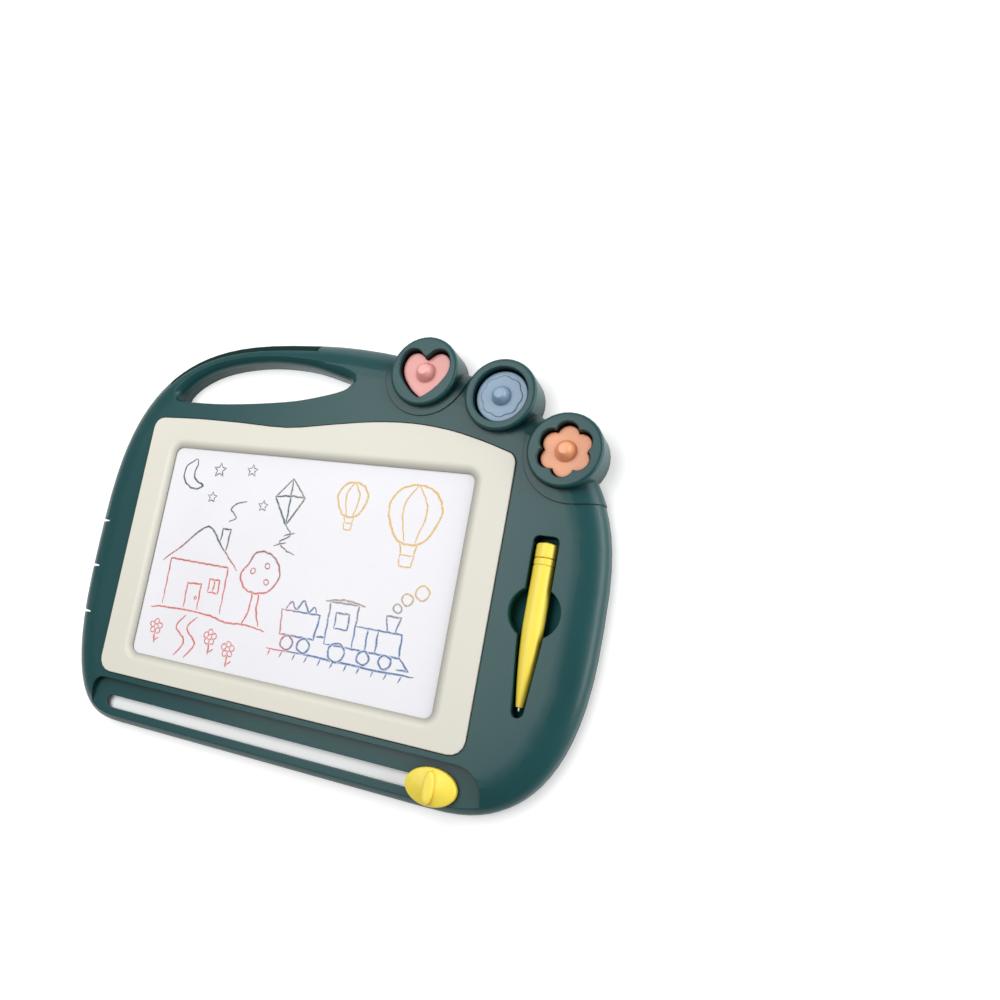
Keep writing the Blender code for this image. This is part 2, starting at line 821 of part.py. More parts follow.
def screw_places():
    """Plan places of the case screws, in the bands that nothing else fills."""
    left_x = (BODY_LEFT + BEZEL_LEFT) / 2
    right_x = (TRAY_X + FINGER_R + BODY_RIGHT) / 2
    off = WALL + POST_R + POST_MARGIN
    between_x = (HOLE_RIGHT + HEART_RING[0] - RING_R) / 2
    return [
        (left_x, NOTCH_Y + NOTCH_PITCH * 3 / 2),
        (left_x, NOTCH_Y - NOTCH_PITCH / 2),
        (LEDGE_LEFT - off, BEZEL_BOTTOM),
        (LEDGE_RIGHT + off, BEZEL_BOTTOM),
        (right_x, PEN_POST_SHARE * SCREEN_H),
        (right_x, -PEN_POST_SHARE * SCREEN_H),
        (HOLE_LEFT - 2 * off, HOLE_FOOT - POST_R),
        (between_x, HEART_RING[1] - POST_R),
    ]


def shell_cavity():
    """The hollow of the front shell, with everything left standing that carries a pocket."""
    over = RING_TOP + OVERRUN
    hollow = loft("cavity", shoulder(WALL, -OVERRUN, HIDDEN_STEPS))
    for at in (HEART_RING, DISC_RING, FLOWER_RING):
        plan = circle(*at, RING_R - WALL, HIDDEN_POINTS)
        join(hollow, prism("ring hollow", plan, -2 * OVERRUN, RING_TOP))
    island_base = WELL_FLOOR - WALL
    islands = []
    for at in (HEART_RING, DISC_RING, FLOWER_RING):
        plan = circle(*at, RING_R, HIDDEN_POINTS)
        islands.append(prism("ring island", plan, island_base, over))
    bezel_seat = grown(bezel_outline(), BEZEL_FIT + WALL)
    islands.append(prism("bezel island", bezel_seat, BEZEL_SEAT - WALL, over))
    frame = panel_outline(PANEL_FIT + WALL)
    islands.append(prism("frame island", frame, FRAME_BASE, over))
    tray_base = TRAY_FLOOR - WALL
    islands.append(prism("tray island", tray_outline(WALL), tray_base, over))
    finger = circle(TRAY_X, FINGER_Y, FINGER_R + WALL, HIDDEN_POINTS)
    islands.append(prism("finger island", finger, tray_base - CLEAR, over))
    ledge = grown(ledge_outline(), WALL)
    islands.append(prism("ledge island", ledge, LEDGE_TOP - WALL, over))
    hole = hole_levels(WALL, HOLE_SPLIT, over, HIDDEN_STEPS)
    islands.append(loft("hole island", hole))
    islands.append(rebate_band(REBATE_W + WALL, WALL, REBATE_FLOOR - WALL, over))
    for x, y in notch_places():
        half_w = NOTCH_W / 2 + WALL
        plan = box(x - OVERRUN, y - half_w, x + NOTCH_DEPTH + WALL, y + half_w)
        islands.append(prism("notch island", plan, NOTCH_FLOOR - WALL, over))
    for x, y in screw_places():
        post = circle(x, y, POST_R, SMALL_POINTS)
        islands.append(prism("post island", post, POST_BASE, over))
    for island in islands:
        cut(hollow, island)
    return hollow


def well(shape, centre):
    """The pocket of one stamp, with a chamfer round its mouth."""
    mouth = RING_TOP - WELL_CHAMFER
    fit = moved(shape(STAMP_FIT), centre)
    wide = moved(shape(STAMP_FIT + WELL_CHAMFER), centre)
    wider = moved(shape(STAMP_FIT + 2 * WELL_CHAMFER), centre)
    above = RING_TOP + WELL_CHAMFER
    return loft("well", [(fit, WELL_FLOOR), (fit, mouth), (wide, RING_TOP), (wider, above)])


def notch_places():
    """Where the outline's left side meets the middle of each grip groove."""
    places = []
    for step in (-1, 0, 1):
        y = NOTCH_Y + step * NOTCH_PITCH
        for a, b in zip(BODY_OUTLINE, BODY_OUTLINE[1:]):
            if a[0] < BEZEL_LEFT and a[1] >= y > b[1]:
                places.append((a[0] + (b[0] - a[0]) * (y - a[1]) / (b[1] - a[1]), y))
    return places


def notch(place):
    """One grip groove: in plan a V with hollow sides, open to the left."""
    x, y = place
    half_w = NOTCH_W / 2
    foot = [(x + NOTCH_DEPTH * into, y - half_w * wide) for into, wide in NOTCH_SHARES]
    head = [(x + NOTCH_DEPTH * into, y + half_w * wide) for into, wide in NOTCH_SHARES[:-1]]
    plan = [(x - OVERRUN, y - half_w)] + foot + head[::-1] + [(x - OVERRUN, y + half_w)]
    return prism("notch", plan, NOTCH_FLOOR, RING_TOP)


def front_shell():
    shell = loft("front_shell", shoulder(0, SKIRT_LIFT))
    over = RING_TOP + OVERRUN
    for plan in pad_outlines():
        pad = loft("pad", shoulder(-PAD_RISE, SKIRT_LIFT + WALL))
        common(pad, prism("pad plan", plan, 0, over))
        join(shell, pad)
    for at in (HEART_RING, DISC_RING, FLOWER_RING):
        join(shell, ring_column(at))
    cut(shell, shell_cavity())
    cut(shell, prism("bezel pocket", grown(bezel_outline(), BEZEL_FIT), BEZEL_SEAT, over))
    cut(shell, prism("panel pocket", panel_outline(PANEL_FIT), PANEL_SEAT, BEZEL_TOP))
    cut(shell, prism("window", panel_outline(-PANEL_LIP), 0, BEZEL_TOP))
    cut(shell, prism("ledge", ledge_outline(), LEDGE_TOP, over))
    slot = slot_outline(SLOT_W / 2, SLOT_LEFT, SLOT_RIGHT)
    cut(shell, prism("slot", slot, PAD_BASE, over))
    cut(shell, prism("tray", tray_outline(0), TRAY_FLOOR, over))
    finger = circle(TRAY_X, FINGER_Y, FINGER_R)
    cut(shell, prism("finger pocket", finger, TRAY_FLOOR - CLEAR, over))
    cut(shell, loft("handle hole", hole_levels(0, 0, over)))
    cut(shell, rebate_band(REBATE_W, 0, REBATE_FLOOR, over))
    for shape, at in ((heart, HEART_RING), (disc, DISC_RING), (flower, FLOWER_RING)):
        cut(shell, well(shape, at))
    for place in notch_places():
        cut(shell, notch(place))
    for x, y in screw_places():
        bore = circle(x, y, SCREW_R + CLEAR, SMALL_POINTS)
        cut(shell, prism("pilot", bore, 0, POST_BASE + SCREW_BITE + CLEAR))
    return finish(shell, GREEN, 0.42)


# The back cover

def cover_plan(name, skin, low, high):
    """A plate that follows the body and the three rings, a skin's depth inside them."""
    plate = prism(name, grown(BODY_OUTLINE, -skin), low, high)
    for at in (HEART_RING, DISC_RING, FLOWER_RING):
        ring = circle(*at, RING_R - skin, HIDDEN_POINTS)
        join(plate, prism("ring plate", ring, low, high))
    return plate


def cover_ribs():
    """Two guides under the eraser bar, and three walls that back the panel's frame."""
    half_x = SCREEN_W / 2 + PANEL_SIDE
    frame_y = SCREEN_H / 2 + PANEL_HEAD + PANEL_FIT + WALL / 2
    frame_x = half_x + PANEL_FIT + WALL / 2
    run = half_x - PANEL_LIP
    guide_top = BAR_BASE - CLEAR
    back_top = FRAME_BASE - CLEAR
    half_t = RIB_T / 2
    ribs = []
    for y in (-GUIDE_SPREAD / 2, GUIDE_SPREAD / 2):
        plan = box(-run, y - half_t, run, y + half_t)
        ribs.append(prism("guide", plan, COVER_T / 2, guide_top))
    plan = box(-run, frame_y - half_t, run, frame_y + half_t)
    ribs.append(prism("head rib", plan, COVER_T / 2, back_top))
    for x in (-frame_x, frame_x):
        plan = box(x - half_t, -SCREEN_H / 2, x + half_t, SCREEN_H / 2)
        ribs.append(prism("side rib", plan, COVER_T / 2, back_top))
    return ribs


def back_cover():
    cover = cover_plan("back_cover", WALL + COVER_FIT, 0, COVER_T)
    collar = grown(hole_outline(), COLLAR_T)
    join(cover, prism("collar", collar, COVER_T / 2, HOLE_SPLIT - CLEAR))
    for rib in cover_ribs():
        join(cover, rib)
    for x, y in screw_places():
        boss = circle(x, y, BOSS_R, SMALL_POINTS)
        join(cover, prism("boss", boss, COVER_T / 2, BOSS_H))
    cut(cover, prism("handle hole", hole_outline(), -OVERRUN, BODY_T))
    for x, y in screw_places():
        recess = circle(x, y, SCREW_HEAD_R + SCREW_HEAD_FIT, SMALL_POINTS)
        cut(cover, prism("recess", recess, -OVERRUN, SCREW_RECESS))
        passage = circle(x, y, SCREW_R + CLEAR, SMALL_POINTS)
        cut(cover, prism("passage", passage, 0, BOSS_H + OVERRUN))
    return finish(cover, GREY, 0.45)


def slot_track():
    """The white track that shows through the slot, an upturned channel open at both ends."""
    half_w = SLOT_W / 2 + RAIL_BORDER
    left, right = SLOT_LEFT - RAIL_REACH, SLOT_RIGHT + RAIL_REACH
    plan = box(left, SLOT_Y - half_w, right, SLOT_Y + half_w)
    track = prism("slot_track", plan, COVER_T + CLEAR, RAIL_TOP)
    inner = half_w - RAIL_PLATE_T
    channel = box(left - OVERRUN, SLOT_Y - inner, right + OVERRUN, SLOT_Y + inner)
    cut(track, prism("channel", channel, 0, RAIL_TOP - RAIL_PLATE_T))
    return finish(track, WHITE, 0.4)


def case_screw(number):
    """Pan-head screw standing on its head, with its shank up into the shell's post."""
    head, shank = SCREW_HEAD_R, SCREW_R
    edge = SCREW_HEAD_T / 4
    length = POST_BASE + SCREW_BITE - SCREW_SEAT
    profile = [
        (0, -SCREW_HEAD_T),
        (head - 2 * edge, -SCREW_HEAD_T),
        (head, -SCREW_HEAD_T + 2 * edge),
        (head, 0),
        (shank, 0),
        (shank, length),
        (0, length),
    ]
    return finish(turned(f"case_screw_{number}", profile, SMALL_POINTS), STEEL, 0.3, 1.0)


# Bezel and drawing panel

def bezel():
    outline = bezel_outline()
    levels = [
        (outline, BEZEL_BASE),
        (outline, BEZEL_TOP - BEZEL_EDGE),
        (grown(outline, -BEZEL_EDGE / 3), BEZEL_TOP - BEZEL_EDGE / 3),
        (grown(outline, -BEZEL_EDGE), BEZEL_TOP),
    ]
    frame = loft("bezel", levels)
    lip = BEZEL_BASE + BEZEL_LIP_T
    opening = [(screen_outline(0), BEZEL_BASE - OVERRUN), (screen_outline(0), lip)]
    steps = 5
    for step in range(1, steps + 1):
        share = step / steps
        rise = math.sin(math.pi * share / 2)
        opening.append((screen_outline(BEZEL_SLOPE_W * share), lip + (BEZEL_TOP - lip) * rise))
    opening.append((opening[-1][0], BEZEL_TOP + OVERRUN))
    cut(frame, loft("opening", opening))
    return finish(frame, CREAM, 0.5)


def panel():
    """Front film, honeycomb core and back film, which together hold the drawing powder."""
    plan = panel_outline(0)
    front = prism("front_film", plan, FRONT_FILM_TOP - FILM_T, FRONT_FILM_TOP)
    core = prism("panel_core", plan, CORE_TOP - CORE_T, CORE_TOP)
    back = prism("back_film", plan, BACK_FILM_BASE, BACK_FILM_TOP)
    return [
        finish(front, FILM_WHITE, 0.35),
        finish(core, CORE_WHITE, 0.6),
        finish(back, FILM_WHITE, 0.5),
    ]


# Eraser

def oval(half_w, half_d, points):
    return [(half_w * x, half_d * y) for x, y in circle(0, 0, 1, points)]


def rounded_oval(name, width, depth, base, side_top, edge, crown, points):
    """Upright oval side with a rounded edge, under a low dome if it has a crown."""
    side = oval(width / 2, depth / 2, points)
    levels = [(side, base), (side, side_top)]
    for angle in (30, 60, 90):
        turn = math.radians(angle)
        inset = edge * (1 - math.cos(turn))
        plan = oval(width / 2 - inset, depth / 2 - inset, points)
        levels.append((plan, side_top + edge * math.sin(turn)))
    for share in (0.65, 0.25) if crown else ():
        plan = oval((width / 2 - edge) * share, (depth / 2 - edge) * share, points)
        levels.append((plan, side_top + edge + crown * (1 - share**2)))
    return loft(name, levels)


def screw_top():
    return KNOB_BASE + KNOB_SCREW_BITE


def eraser_knob():
    side_top = KNOB_BASE + KNOB_SIDE_H
    sizes = (KNOB_W, KNOB_D, KNOB_BASE, side_top, KNOB_ROUND, KNOB_CROWN)
    knob = rounded_oval("eraser_knob", *sizes, ROUND_POINTS)
    crest = side_top + KNOB_ROUND + KNOB_CROWN
    ridge_side = crest + RIDGE_H - RIDGE_ROUND
    sizes = (RIDGE_W, RIDGE_D, side_top, ridge_side, RIDGE_ROUND, 0)
    join(knob, rounded_oval("ridge", *sizes, KNOB_POINTS))
    bore = circle(0, 0, KNOB_SCREW_R + CLEAR, SMALL_POINTS)
    cut(knob, prism("bore", bore, 0, screw_top() + CLEAR))
    return finish(knob, YELLOW, 0.35)


def eraser_carriage():
    """Pad under the slot with the knob's neck, and the arm and bar behind the panel."""
    half_pad = KNOB_W / 2 - KNOB_INSET
    plan = rounded_box(-half_pad, -PAD_D / 2, half_pad, PAD_D / 2, PAD_CORNER)
    carriage = prism("eraser_carriage", plan, PAD_BASE, PAD_TOP)
    neck_half = SLOT_W / 2 - SLIDE_FIT
    length = NECK_W / 2 - neck_half
    steps = 2 * CORNER_STEPS
    neck = arc(length, 0, neck_half, -90, 90, steps) + arc(-length, 0, neck_half, 90, 270, steps)
    join(carriage, prism("neck", neck, PAD_BASE + PAD_T / 2, KNOB_BASE - CLEAR))
    bar_foot = SCREEN_FOOT - PANEL_HEAD + PANEL_LIP + BAR_END_GAP - SLOT_Y
    bar_head = SCREEN_TOP + PANEL_HEAD - PANEL_LIP - BAR_END_GAP - SLOT_Y
    arm_start = SLOT_W / 2 + RAIL_BORDER + SLIDE_FIT
    arm = box(-ARM_W / 2, arm_start, ARM_W / 2, bar_foot + ARM_W / 2)
    join(carriage, prism("arm", arm, ARM_TOP - ARM_T, ARM_TOP))
    step = box(-ARM_W, bar_foot - PANEL_LIP, ARM_W, bar_head)
    cut(carriage, prism("arm step", step, BAR_TOP, BODY_T))
    bar = box(-BAR_W / 2, bar_foot, BAR_W / 2, bar_head)
    join(carriage, prism("bar", bar, BAR_BASE, BAR_TOP))
    passage = circle(0, 0, KNOB_SCREW_R + CLEAR, SMALL_POINTS)
    cut(carriage, prism("passage", passage, 0, BODY_T))
    recess = circle(0, 0, KNOB_SCREW_HEAD_R + CLEAR, SMALL_POINTS)
    cut(carriage, prism("recess", recess, 0, PAD_BASE + KNOB_SCREW_HEAD_T + CLEAR))
    return finish(carriage, WHITE, 0.5)


def eraser_magnet():
    foot = SCREEN_FOOT - PANEL_HEAD + PANEL_LIP + BAR_END_GAP + MAGNET_END_GAP - SLOT_Y
    head = SCREEN_TOP + PANEL_HEAD - PANEL_LIP - BAR_END_GAP - MAGNET_END_GAP - SLOT_Y
    plan = box(-MAGNET_W / 2, foot, MAGNET_W / 2, head)
    return finish(prism("eraser_magnet", plan, MAGNET_BASE, MAGNET_TOP), RUBBER, 0.7)


def knob_screw():
    head_top = PAD_BASE + KNOB_SCREW_HEAD_T
    edge = KNOB_SCREW_HEAD_T / 3
    profile = [
        (0, PAD_BASE),
        (KNOB_SCREW_HEAD_R - edge, PAD_BASE),
        (KNOB_SCREW_HEAD_R, PAD_BASE + edge),
        (KNOB_SCREW_HEAD_R, head_top),
        (KNOB_SCREW_R, head_top),
        (KNOB_SCREW_R, screw_top() - KNOB_SCREW_R),
        (0, screw_top()),
    ]
    return finish(turned("knob_screw", profile, SMALL_POINTS), STEEL, 0.3, 1.0)


# Pen, turned about its own axis with the tip at zero

def pen_radius(height):
    """Outer radius: the nose swells to the full barrel along one smooth curve."""
    taper_top = TIP_L + PEN_TAPER_L
    if height >= taper_top:
        return PEN_R
    share = (taper_top - height) / PEN_TAPER_L
    return PEN_R - (PEN_R - PEN_NOSE_R) * share**PEN_TAPER_POWER


def pen_barrel():
    top = PEN_L - PEN_CAP_L - CLEAR
    groove = top - PEN_BAND_L
    steps = 7
    outside = []
    for step in range(steps + 1):
        height = TIP_L + PEN_TAPER_L * step / steps
        outside.append((pen_radius(height), height))
    cut_r = PEN_R - PEN_GROOVE
    outside += [(PEN_R, groove - PEN_GROOVE), (cut_r, groove), (PEN_R, groove + PEN_GROOVE)]
    outside += [(PEN_R, top - PEN_GROOVE), (cut_r, top)]
    magnet_r = PEN_MAGNET_R + CLEAR
    magnet_top = PEN_MAGNET_START + PEN_MAGNET_L + CLEAR
    stem_r = TIP_STEM_R + CLEAR
    inside = [
        (PEN_BORE_R, top),
        (PEN_BORE_R, PEN_BORE_END),
        (magnet_r, magnet_top),
        (magnet_r, PEN_MAGNET_START - CLEAR),
        (stem_r, PEN_MAGNET_START - CLEAR),
        (stem_r, TIP_L),
    ]
    return finish(turned("pen_barrel", outside + inside, PEN_POINTS, ring=True), YELLOW, 0.35)


def pen_end_cap():
    base = PEN_L - PEN_CAP_L
    edge = PEN_CAP_ROUND
    spigot_r = PEN_BORE_R - CLEAR
    profile = [
        (0, base - SPIGOT_L),
        (spigot_r, base - SPIGOT_L),
        (spigot_r, base),
        (PEN_R - PEN_GROOVE, base),
        (PEN_R, base + PEN_GROOVE),
    ]
    for step in range(4):
        angle = math.radians(30 * step)
        radius = PEN_R - edge * (1 - math.cos(angle))
        profile.append((radius, PEN_L - 2 * edge + edge * math.sin(angle)))
    profile.append(((PEN_R - edge) / 2, PEN_L - edge / 4))
    profile.append((0, PEN_L))
    return finish(turned("pen_end_cap", profile, PEN_POINTS), YELLOW, 0.35)


def pen_magnet():
    low, high = PEN_MAGNET_START, PEN_MAGNET_START + PEN_MAGNET_L
    profile = [(0, low), (PEN_MAGNET_R, low), (PEN_MAGNET_R, high), (0, high)]
    return finish(turned("pen_magnet", profile, SMALL_POINTS), STEEL, 0.4, 1.0)


def pen_tip():
    shoulder_z = TIP_L - CLEAR
    profile = [(0, 0)]
    for angle in (30, 60, 90):
        turn = math.radians(angle)
        profile.append((TIP_R * math.sin(turn), TIP_R * (1 - math.cos(turn))))
    profile += [
        (TIP_R, shoulder_z),
        (TIP_STEM_R, shoulder_z),
        (TIP_STEM_R, PEN_MAGNET_START - 2 * CLEAR),
        (0, PEN_MAGNET_START - 2 * CLEAR),
    ]
    return finish(turned("pen_tip", profile, SMALL_POINTS), STEEL, 0.25, 1.0)


# Stamps, each standing at zero on its own base

def stamp_knob():
    """Rounded cone that fingers pull the stamp out by."""
    radius, height, base = STAMP_KNOB_R, STAMP_KNOB_H, STAMP_T
    profile = [(0, base - STAMP_ROUND), (radius, base - STAMP_ROUND)]
    shape_shares = (
        (1.0, 0.0),
        (0.88, 0.12),
        (0.76, 0.45),
        (0.64, 0.75),
        (0.45, 0.94),
        (0.0, 1.0),
    )
    profile += [(radius * r, base + height * z) for r, z in shape_shares]
    return turned("stamp knob", profile, KNOB_POINTS)


def stamp(name, shape, colour):
    edge = STAMP_ROUND
    side = shape(0)
    levels = [
        (side, 0),
        (side, STAMP_T - edge),
        (shape(-edge / 3), STAMP_T - edge / 3),
        (shape(-edge), STAMP_T),
    ]
    made = loft(name, levels)
    if shape is disc:
        rim = badge(0)
        top = (badge(-BADGE_RISE), STAMP_T + BADGE_RISE)
        join(made, loft("badge", [(rim, STAMP_T / 2), (rim, STAMP_T), top]))
    join(made, stamp_knob())
    return finish(made, colour, 0.4)


def stamp_magnet(name, shape):
    plan = shape(-STAMP_MAGNET_INSET)
    low = -CLEAR - STAMP_MAGNET_T
    return finish(prism(name, plan, low, -CLEAR), RUBBER, 0.7)


# Assembly

def empty(name, location, parent=None):
    made = bpy.data.objects.new(name, None)
    bpy.context.collection.objects.link(made)
    made.location = location
    made.parent = parent
    return made


def attach(pieces, parent, location=(0, 0, 0), rotation=(0, 0, 0)):
    for piece in pieces:
        piece.parent = parent
        piece.location = location
        piece.rotation_euler = rotation


def clear_scene():
    for old in list(bpy.data.objects):
        bpy.data.objects.remove(old)


def main():
    clear_scene()
    middle = ((BODY_LEFT + BODY_RIGHT) / 2, (BODY_FOOT + BOX_TOP) / 2)
    board = empty("board", (-middle[0], -middle[1], 0))
    attach([front_shell(), back_cover(), slot_track(), bezel()] + panel(), board)
    for number, (x, y) in enumerate(screw_places(), start=1):
        attach([case_screw(number)], board, (x, y, SCREW_SEAT))
    slide = empty("eraser_slide", (KNOB_X, SLOT_Y, 0), board)
    attach([eraser_knob(), eraser_carriage(), eraser_magnet(), knob_screw()], slide)
    pen_tip_y = TRAY_HEAD - PEN_HEAD_GAP - PEN_L
    pen = empty("pen_lift", (TRAY_X, pen_tip_y, PEN_AXIS), board)
    lying = (math.radians(-90), 0, 0)
    attach([pen_barrel(), pen_end_cap(), pen_magnet(), pen_tip()], pen, rotation=lying)
    stamps = (
        ("heart", heart, HEART_RING, PINK),
        ("round", disc, DISC_RING, BLUE),
        ("flower", flower, FLOWER_RING, PEACH),
    )
    for name, shape, at, colour in stamps:
        lift = empty(f"{name}_stamp_lift", (*at, STAMP_BASE), board)
        pieces = [stamp(f"{name}_stamp", shape, colour), stamp_magnet(f"{name}_magnet", shape)]
        attach(pieces, lift)


main()
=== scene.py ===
import json
import math

import bmesh
import bpy
from mathutils import Matrix, Vector

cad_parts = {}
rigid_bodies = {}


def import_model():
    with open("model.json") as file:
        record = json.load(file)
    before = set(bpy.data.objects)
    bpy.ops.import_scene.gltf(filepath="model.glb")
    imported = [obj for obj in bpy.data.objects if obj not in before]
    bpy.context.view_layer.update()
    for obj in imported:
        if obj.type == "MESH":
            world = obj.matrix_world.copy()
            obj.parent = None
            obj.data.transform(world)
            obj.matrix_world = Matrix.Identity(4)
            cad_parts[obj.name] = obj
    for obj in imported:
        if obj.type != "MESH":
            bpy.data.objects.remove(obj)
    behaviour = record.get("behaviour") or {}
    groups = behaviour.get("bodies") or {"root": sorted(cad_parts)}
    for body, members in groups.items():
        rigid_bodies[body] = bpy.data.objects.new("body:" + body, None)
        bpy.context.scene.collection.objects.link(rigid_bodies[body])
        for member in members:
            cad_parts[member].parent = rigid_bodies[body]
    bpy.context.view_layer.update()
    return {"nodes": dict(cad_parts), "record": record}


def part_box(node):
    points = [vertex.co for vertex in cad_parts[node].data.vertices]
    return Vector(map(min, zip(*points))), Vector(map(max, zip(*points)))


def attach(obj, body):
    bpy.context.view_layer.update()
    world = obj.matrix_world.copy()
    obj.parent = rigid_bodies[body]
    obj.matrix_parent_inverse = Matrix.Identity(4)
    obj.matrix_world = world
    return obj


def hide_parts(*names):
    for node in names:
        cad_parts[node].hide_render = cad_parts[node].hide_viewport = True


for old in list(bpy.data.objects):
    bpy.data.objects.remove(old)

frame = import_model()

NODE_BODY = {
    node: body
    for body, members in frame["record"]["behaviour"]["bodies"].items()
    for node in members
}
SLOT_OF = {part["node"]: part["material_slot"] for part in frame["record"]["subparts"]}


# Colours

def linear(level):
    """A level from 0 to 255 on the sRGB curve, as linear light from 0 to 1."""
    value = level / 255
    return value / 12.92 if value <= 0.04045 else ((value + 0.055) / 1.055) ** 2.4


def colour(red, green, blue):
    return (linear(red), linear(green), linear(blue), 1)


# Objects

def added(name, data):
    """A new object in the scene, of that name and with that data."""
    made = bpy.data.objects.new(name, data)
    bpy.context.scene.collection.objects.link(made)
    return made


def built(name, work):
    """A new object in the scene with the shape of a bmesh, which is freed."""
    mesh = bpy.data.meshes.new(name)
    work.to_mesh(mesh)
    work.free()
    return added(name, mesh)


# Node helpers

NOISE_LOW = 0.3
NOISE_HIGH = 0.7
BEVEL_SAMPLES = 6


class Nodes:
    """Short calls that add shader nodes to one material."""

    def __init__(self, name):
        self.material = bpy.data.materials.new(name)
        self.material.use_nodes = True
        self.tree = self.material.node_tree
        self.shader = self.tree.nodes["Principled BSDF"]
        self.coords = self.add("ShaderNodeTexCoord").outputs["Object"]

    def add(self, kind, **settings):
        node = self.tree.nodes.new(kind)
        for key, value in settings.items():
            setattr(node, key, value)
        return node

    def put(self, value, socket):
        """Link an output to the socket, or set a plain value on it."""
        if isinstance(value, bpy.types.NodeSocket):
            self.tree.links.new(value, socket)
        else:
            socket.default_value = value

    def axes(self):
        """The place on the object, as the outputs X, Y and Z."""
        split = self.add("ShaderNodeSeparateXYZ")
        self.put(self.coords, split.inputs[0])
        return split.outputs

    def maths(self, operation, a, b=0.0):
        node = self.add("ShaderNodeMath", operation=operation)
        self.put(a, node.inputs[0])
        self.put(b, node.inputs[1])
        return node.outputs[0]

    def noise(self, scale, detail, roughness=0.5):
        node = self.add("ShaderNodeTexNoise")
        self.put(self.coords, node.inputs["Vector"])
        self.put(scale, node.inputs["Scale"])
        self.put(detail, node.inputs["Detail"])
        self.put(roughness, node.inputs["Roughness"])
        return node.outputs["Fac"]

    def span(self, value, low, high, to_low=0.0, to_high=1.0, smooth=False):
        """The value's way from low to high, as a way from to_low to to_high."""
        node = self.add("ShaderNodeMapRange")
        node.interpolation_type = "SMOOTHSTEP" if smooth else "LINEAR"
        for item, socket in zip((value, low, high, to_low, to_high), node.inputs):
            self.put(item, socket)
        return node.outputs["Result"]

    def spread(self, noise, to_low=0.0, to_high=1.0):
        """The range in which most of a noise lies, as a way from to_low to to_high."""
        return self.span(noise, NOISE_LOW, NOISE_HIGH, to_low, to_high)

    def mix(self, share, a, b):
        node = self.add("ShaderNodeMix", data_type="RGBA")
        self.put(share, node.inputs["Factor"])
        colours = [s for s in node.inputs if s.type == "RGBA"]
        self.put(a, colours[0])
        self.put(b, colours[1])
        return [s for s in node.outputs if s.type == "RGBA"][0]

    def bump(self, height, depth, normal=None):
        node = self.add("ShaderNodeBump")
        self.put(depth, node.inputs["Distance"])
        self.put(1.0, node.inputs["Strength"])
        self.put(height, node.inputs["Height"])
        if normal is not None:
            self.put(normal, node.inputs["Normal"])
        return node.outputs["Normal"]

    def rounded(self, radius):
        """Edges shaded as if they were rounded to that radius."""
        node = self.add("ShaderNodeBevel", samples=BEVEL_SAMPLES)
        self.put(radius, node.inputs["Radius"])
        return node.outputs["Normal"]

    def edge(self, soft_normal, low, high):
        """How near an edge is: nothing on a flat face, one on the edge itself."""
        geometry = self.add("ShaderNodeNewGeometry")
        dot = self.add("ShaderNodeVectorMath", operation="DOT_PRODUCT")
        self.put(soft_normal, dot.inputs[0])
        self.put(geometry.outputs["Normal"], dot.inputs[1])
        return self.span(self.maths("SUBTRACT", 1.0, dot.outputs["Value"]), low, high)

    def surface(self, base, roughness, normal):
        """Set the colour, the gloss and the relief, and give the material."""
        self.put(base, self.shader.inputs["Base Color"])
        self.put(roughness, self.shader.inputs["Roughness"])
        self.put(normal, self.shader.inputs["Normal"])
        return self.material


# Plastics: a span says from which value to which, and may say what these two become

EDGE_SPAN = (0.02, 0.35)
WEAR_SPAN = (0.35, 0.7, 0.25, 1.0)
HOLLOW_SPAN = (0.35, 0.95)
HOLLOW_SAMPLES = 8
FOOT_SHARE = 0.15
GLOSS_CLOUD = 0.03
GLOSS_FLECK = 0.025
FLECK_HEIGHT = 0.5


def scaled(base, factor):
    return tuple(min(1, c * factor) for c in base[:3]) + (1,)


def plastic(
    name, base, rough, grain=0.00002, edge_radius=0.0005, tint=0.05,
    light_edge=0.12, painted_shade=None, reach=0.012, foot=None, specular=0.5,
):
    """Moulded plastic: faint cloudiness, a fine grain, flow in its gloss and paler edges.
    Recesses darken towards the shade colour by ambient occlusion, as painted shade, and so does the foot
    between two heights."""
    n = Nodes(name)
    cloud = n.noise(scale=9, detail=3, roughness=0.55)
    fleck = n.noise(scale=900, detail=1)
    wear = n.noise(scale=70, detail=3)
    ripple = n.noise(scale=260, detail=2)
    shade = n.mix(n.spread(cloud), scaled(base, 1 - tint), scaled(base, 1 + tint))
    soft = n.rounded(edge_radius)
    rubbed = tuple(c + (1 - c) * light_edge for c in base[:3]) + (1,)
    worn = n.maths("MULTIPLY", n.edge(soft, *EDGE_SPAN), n.span(wear, *WEAR_SPAN))
    shown = n.mix(worn, shade, rubbed)
    # Painted shade: ambient occlusion mixes the shade colour into recesses
    if painted_shade:
        hollow = n.add("ShaderNodeAmbientOcclusion", samples=HOLLOW_SAMPLES)
        n.put(reach, hollow.inputs["Distance"])
        shown = n.mix(n.span(hollow.outputs["AO"], *HOLLOW_SPAN), painted_shade, shown)
    # Painted shade: the colour darkens towards the shade colour from the foot's upper height down to its
    # lower
    if foot:
        rise = n.span(n.axes()["Z"], *foot, to_low=FOOT_SHARE)
        shown = n.mix(rise, painted_shade, shown)
    cloudy_gloss = n.spread(cloud, -GLOSS_CLOUD, GLOSS_CLOUD)
    flecked_gloss = n.spread(fleck, -GLOSS_FLECK, GLOSS_FLECK)
    uneven = n.maths("ADD", cloudy_gloss, flecked_gloss)
    height = n.maths("ADD", n.maths("MULTIPLY", fleck, FLECK_HEIGHT), ripple)
    n.put(specular, n.shader.inputs["Specular IOR Level"])
    return n.surface(shown, n.maths("ADD", uneven, rough), n.bump(height, grain, soft))


# Film, cells, steel and magnets

CELL_PITCH = 0.0022
CELLS_AWAY = 400
SLANT_ACROSS = 0.5
SLANT_ALONG = 1.5


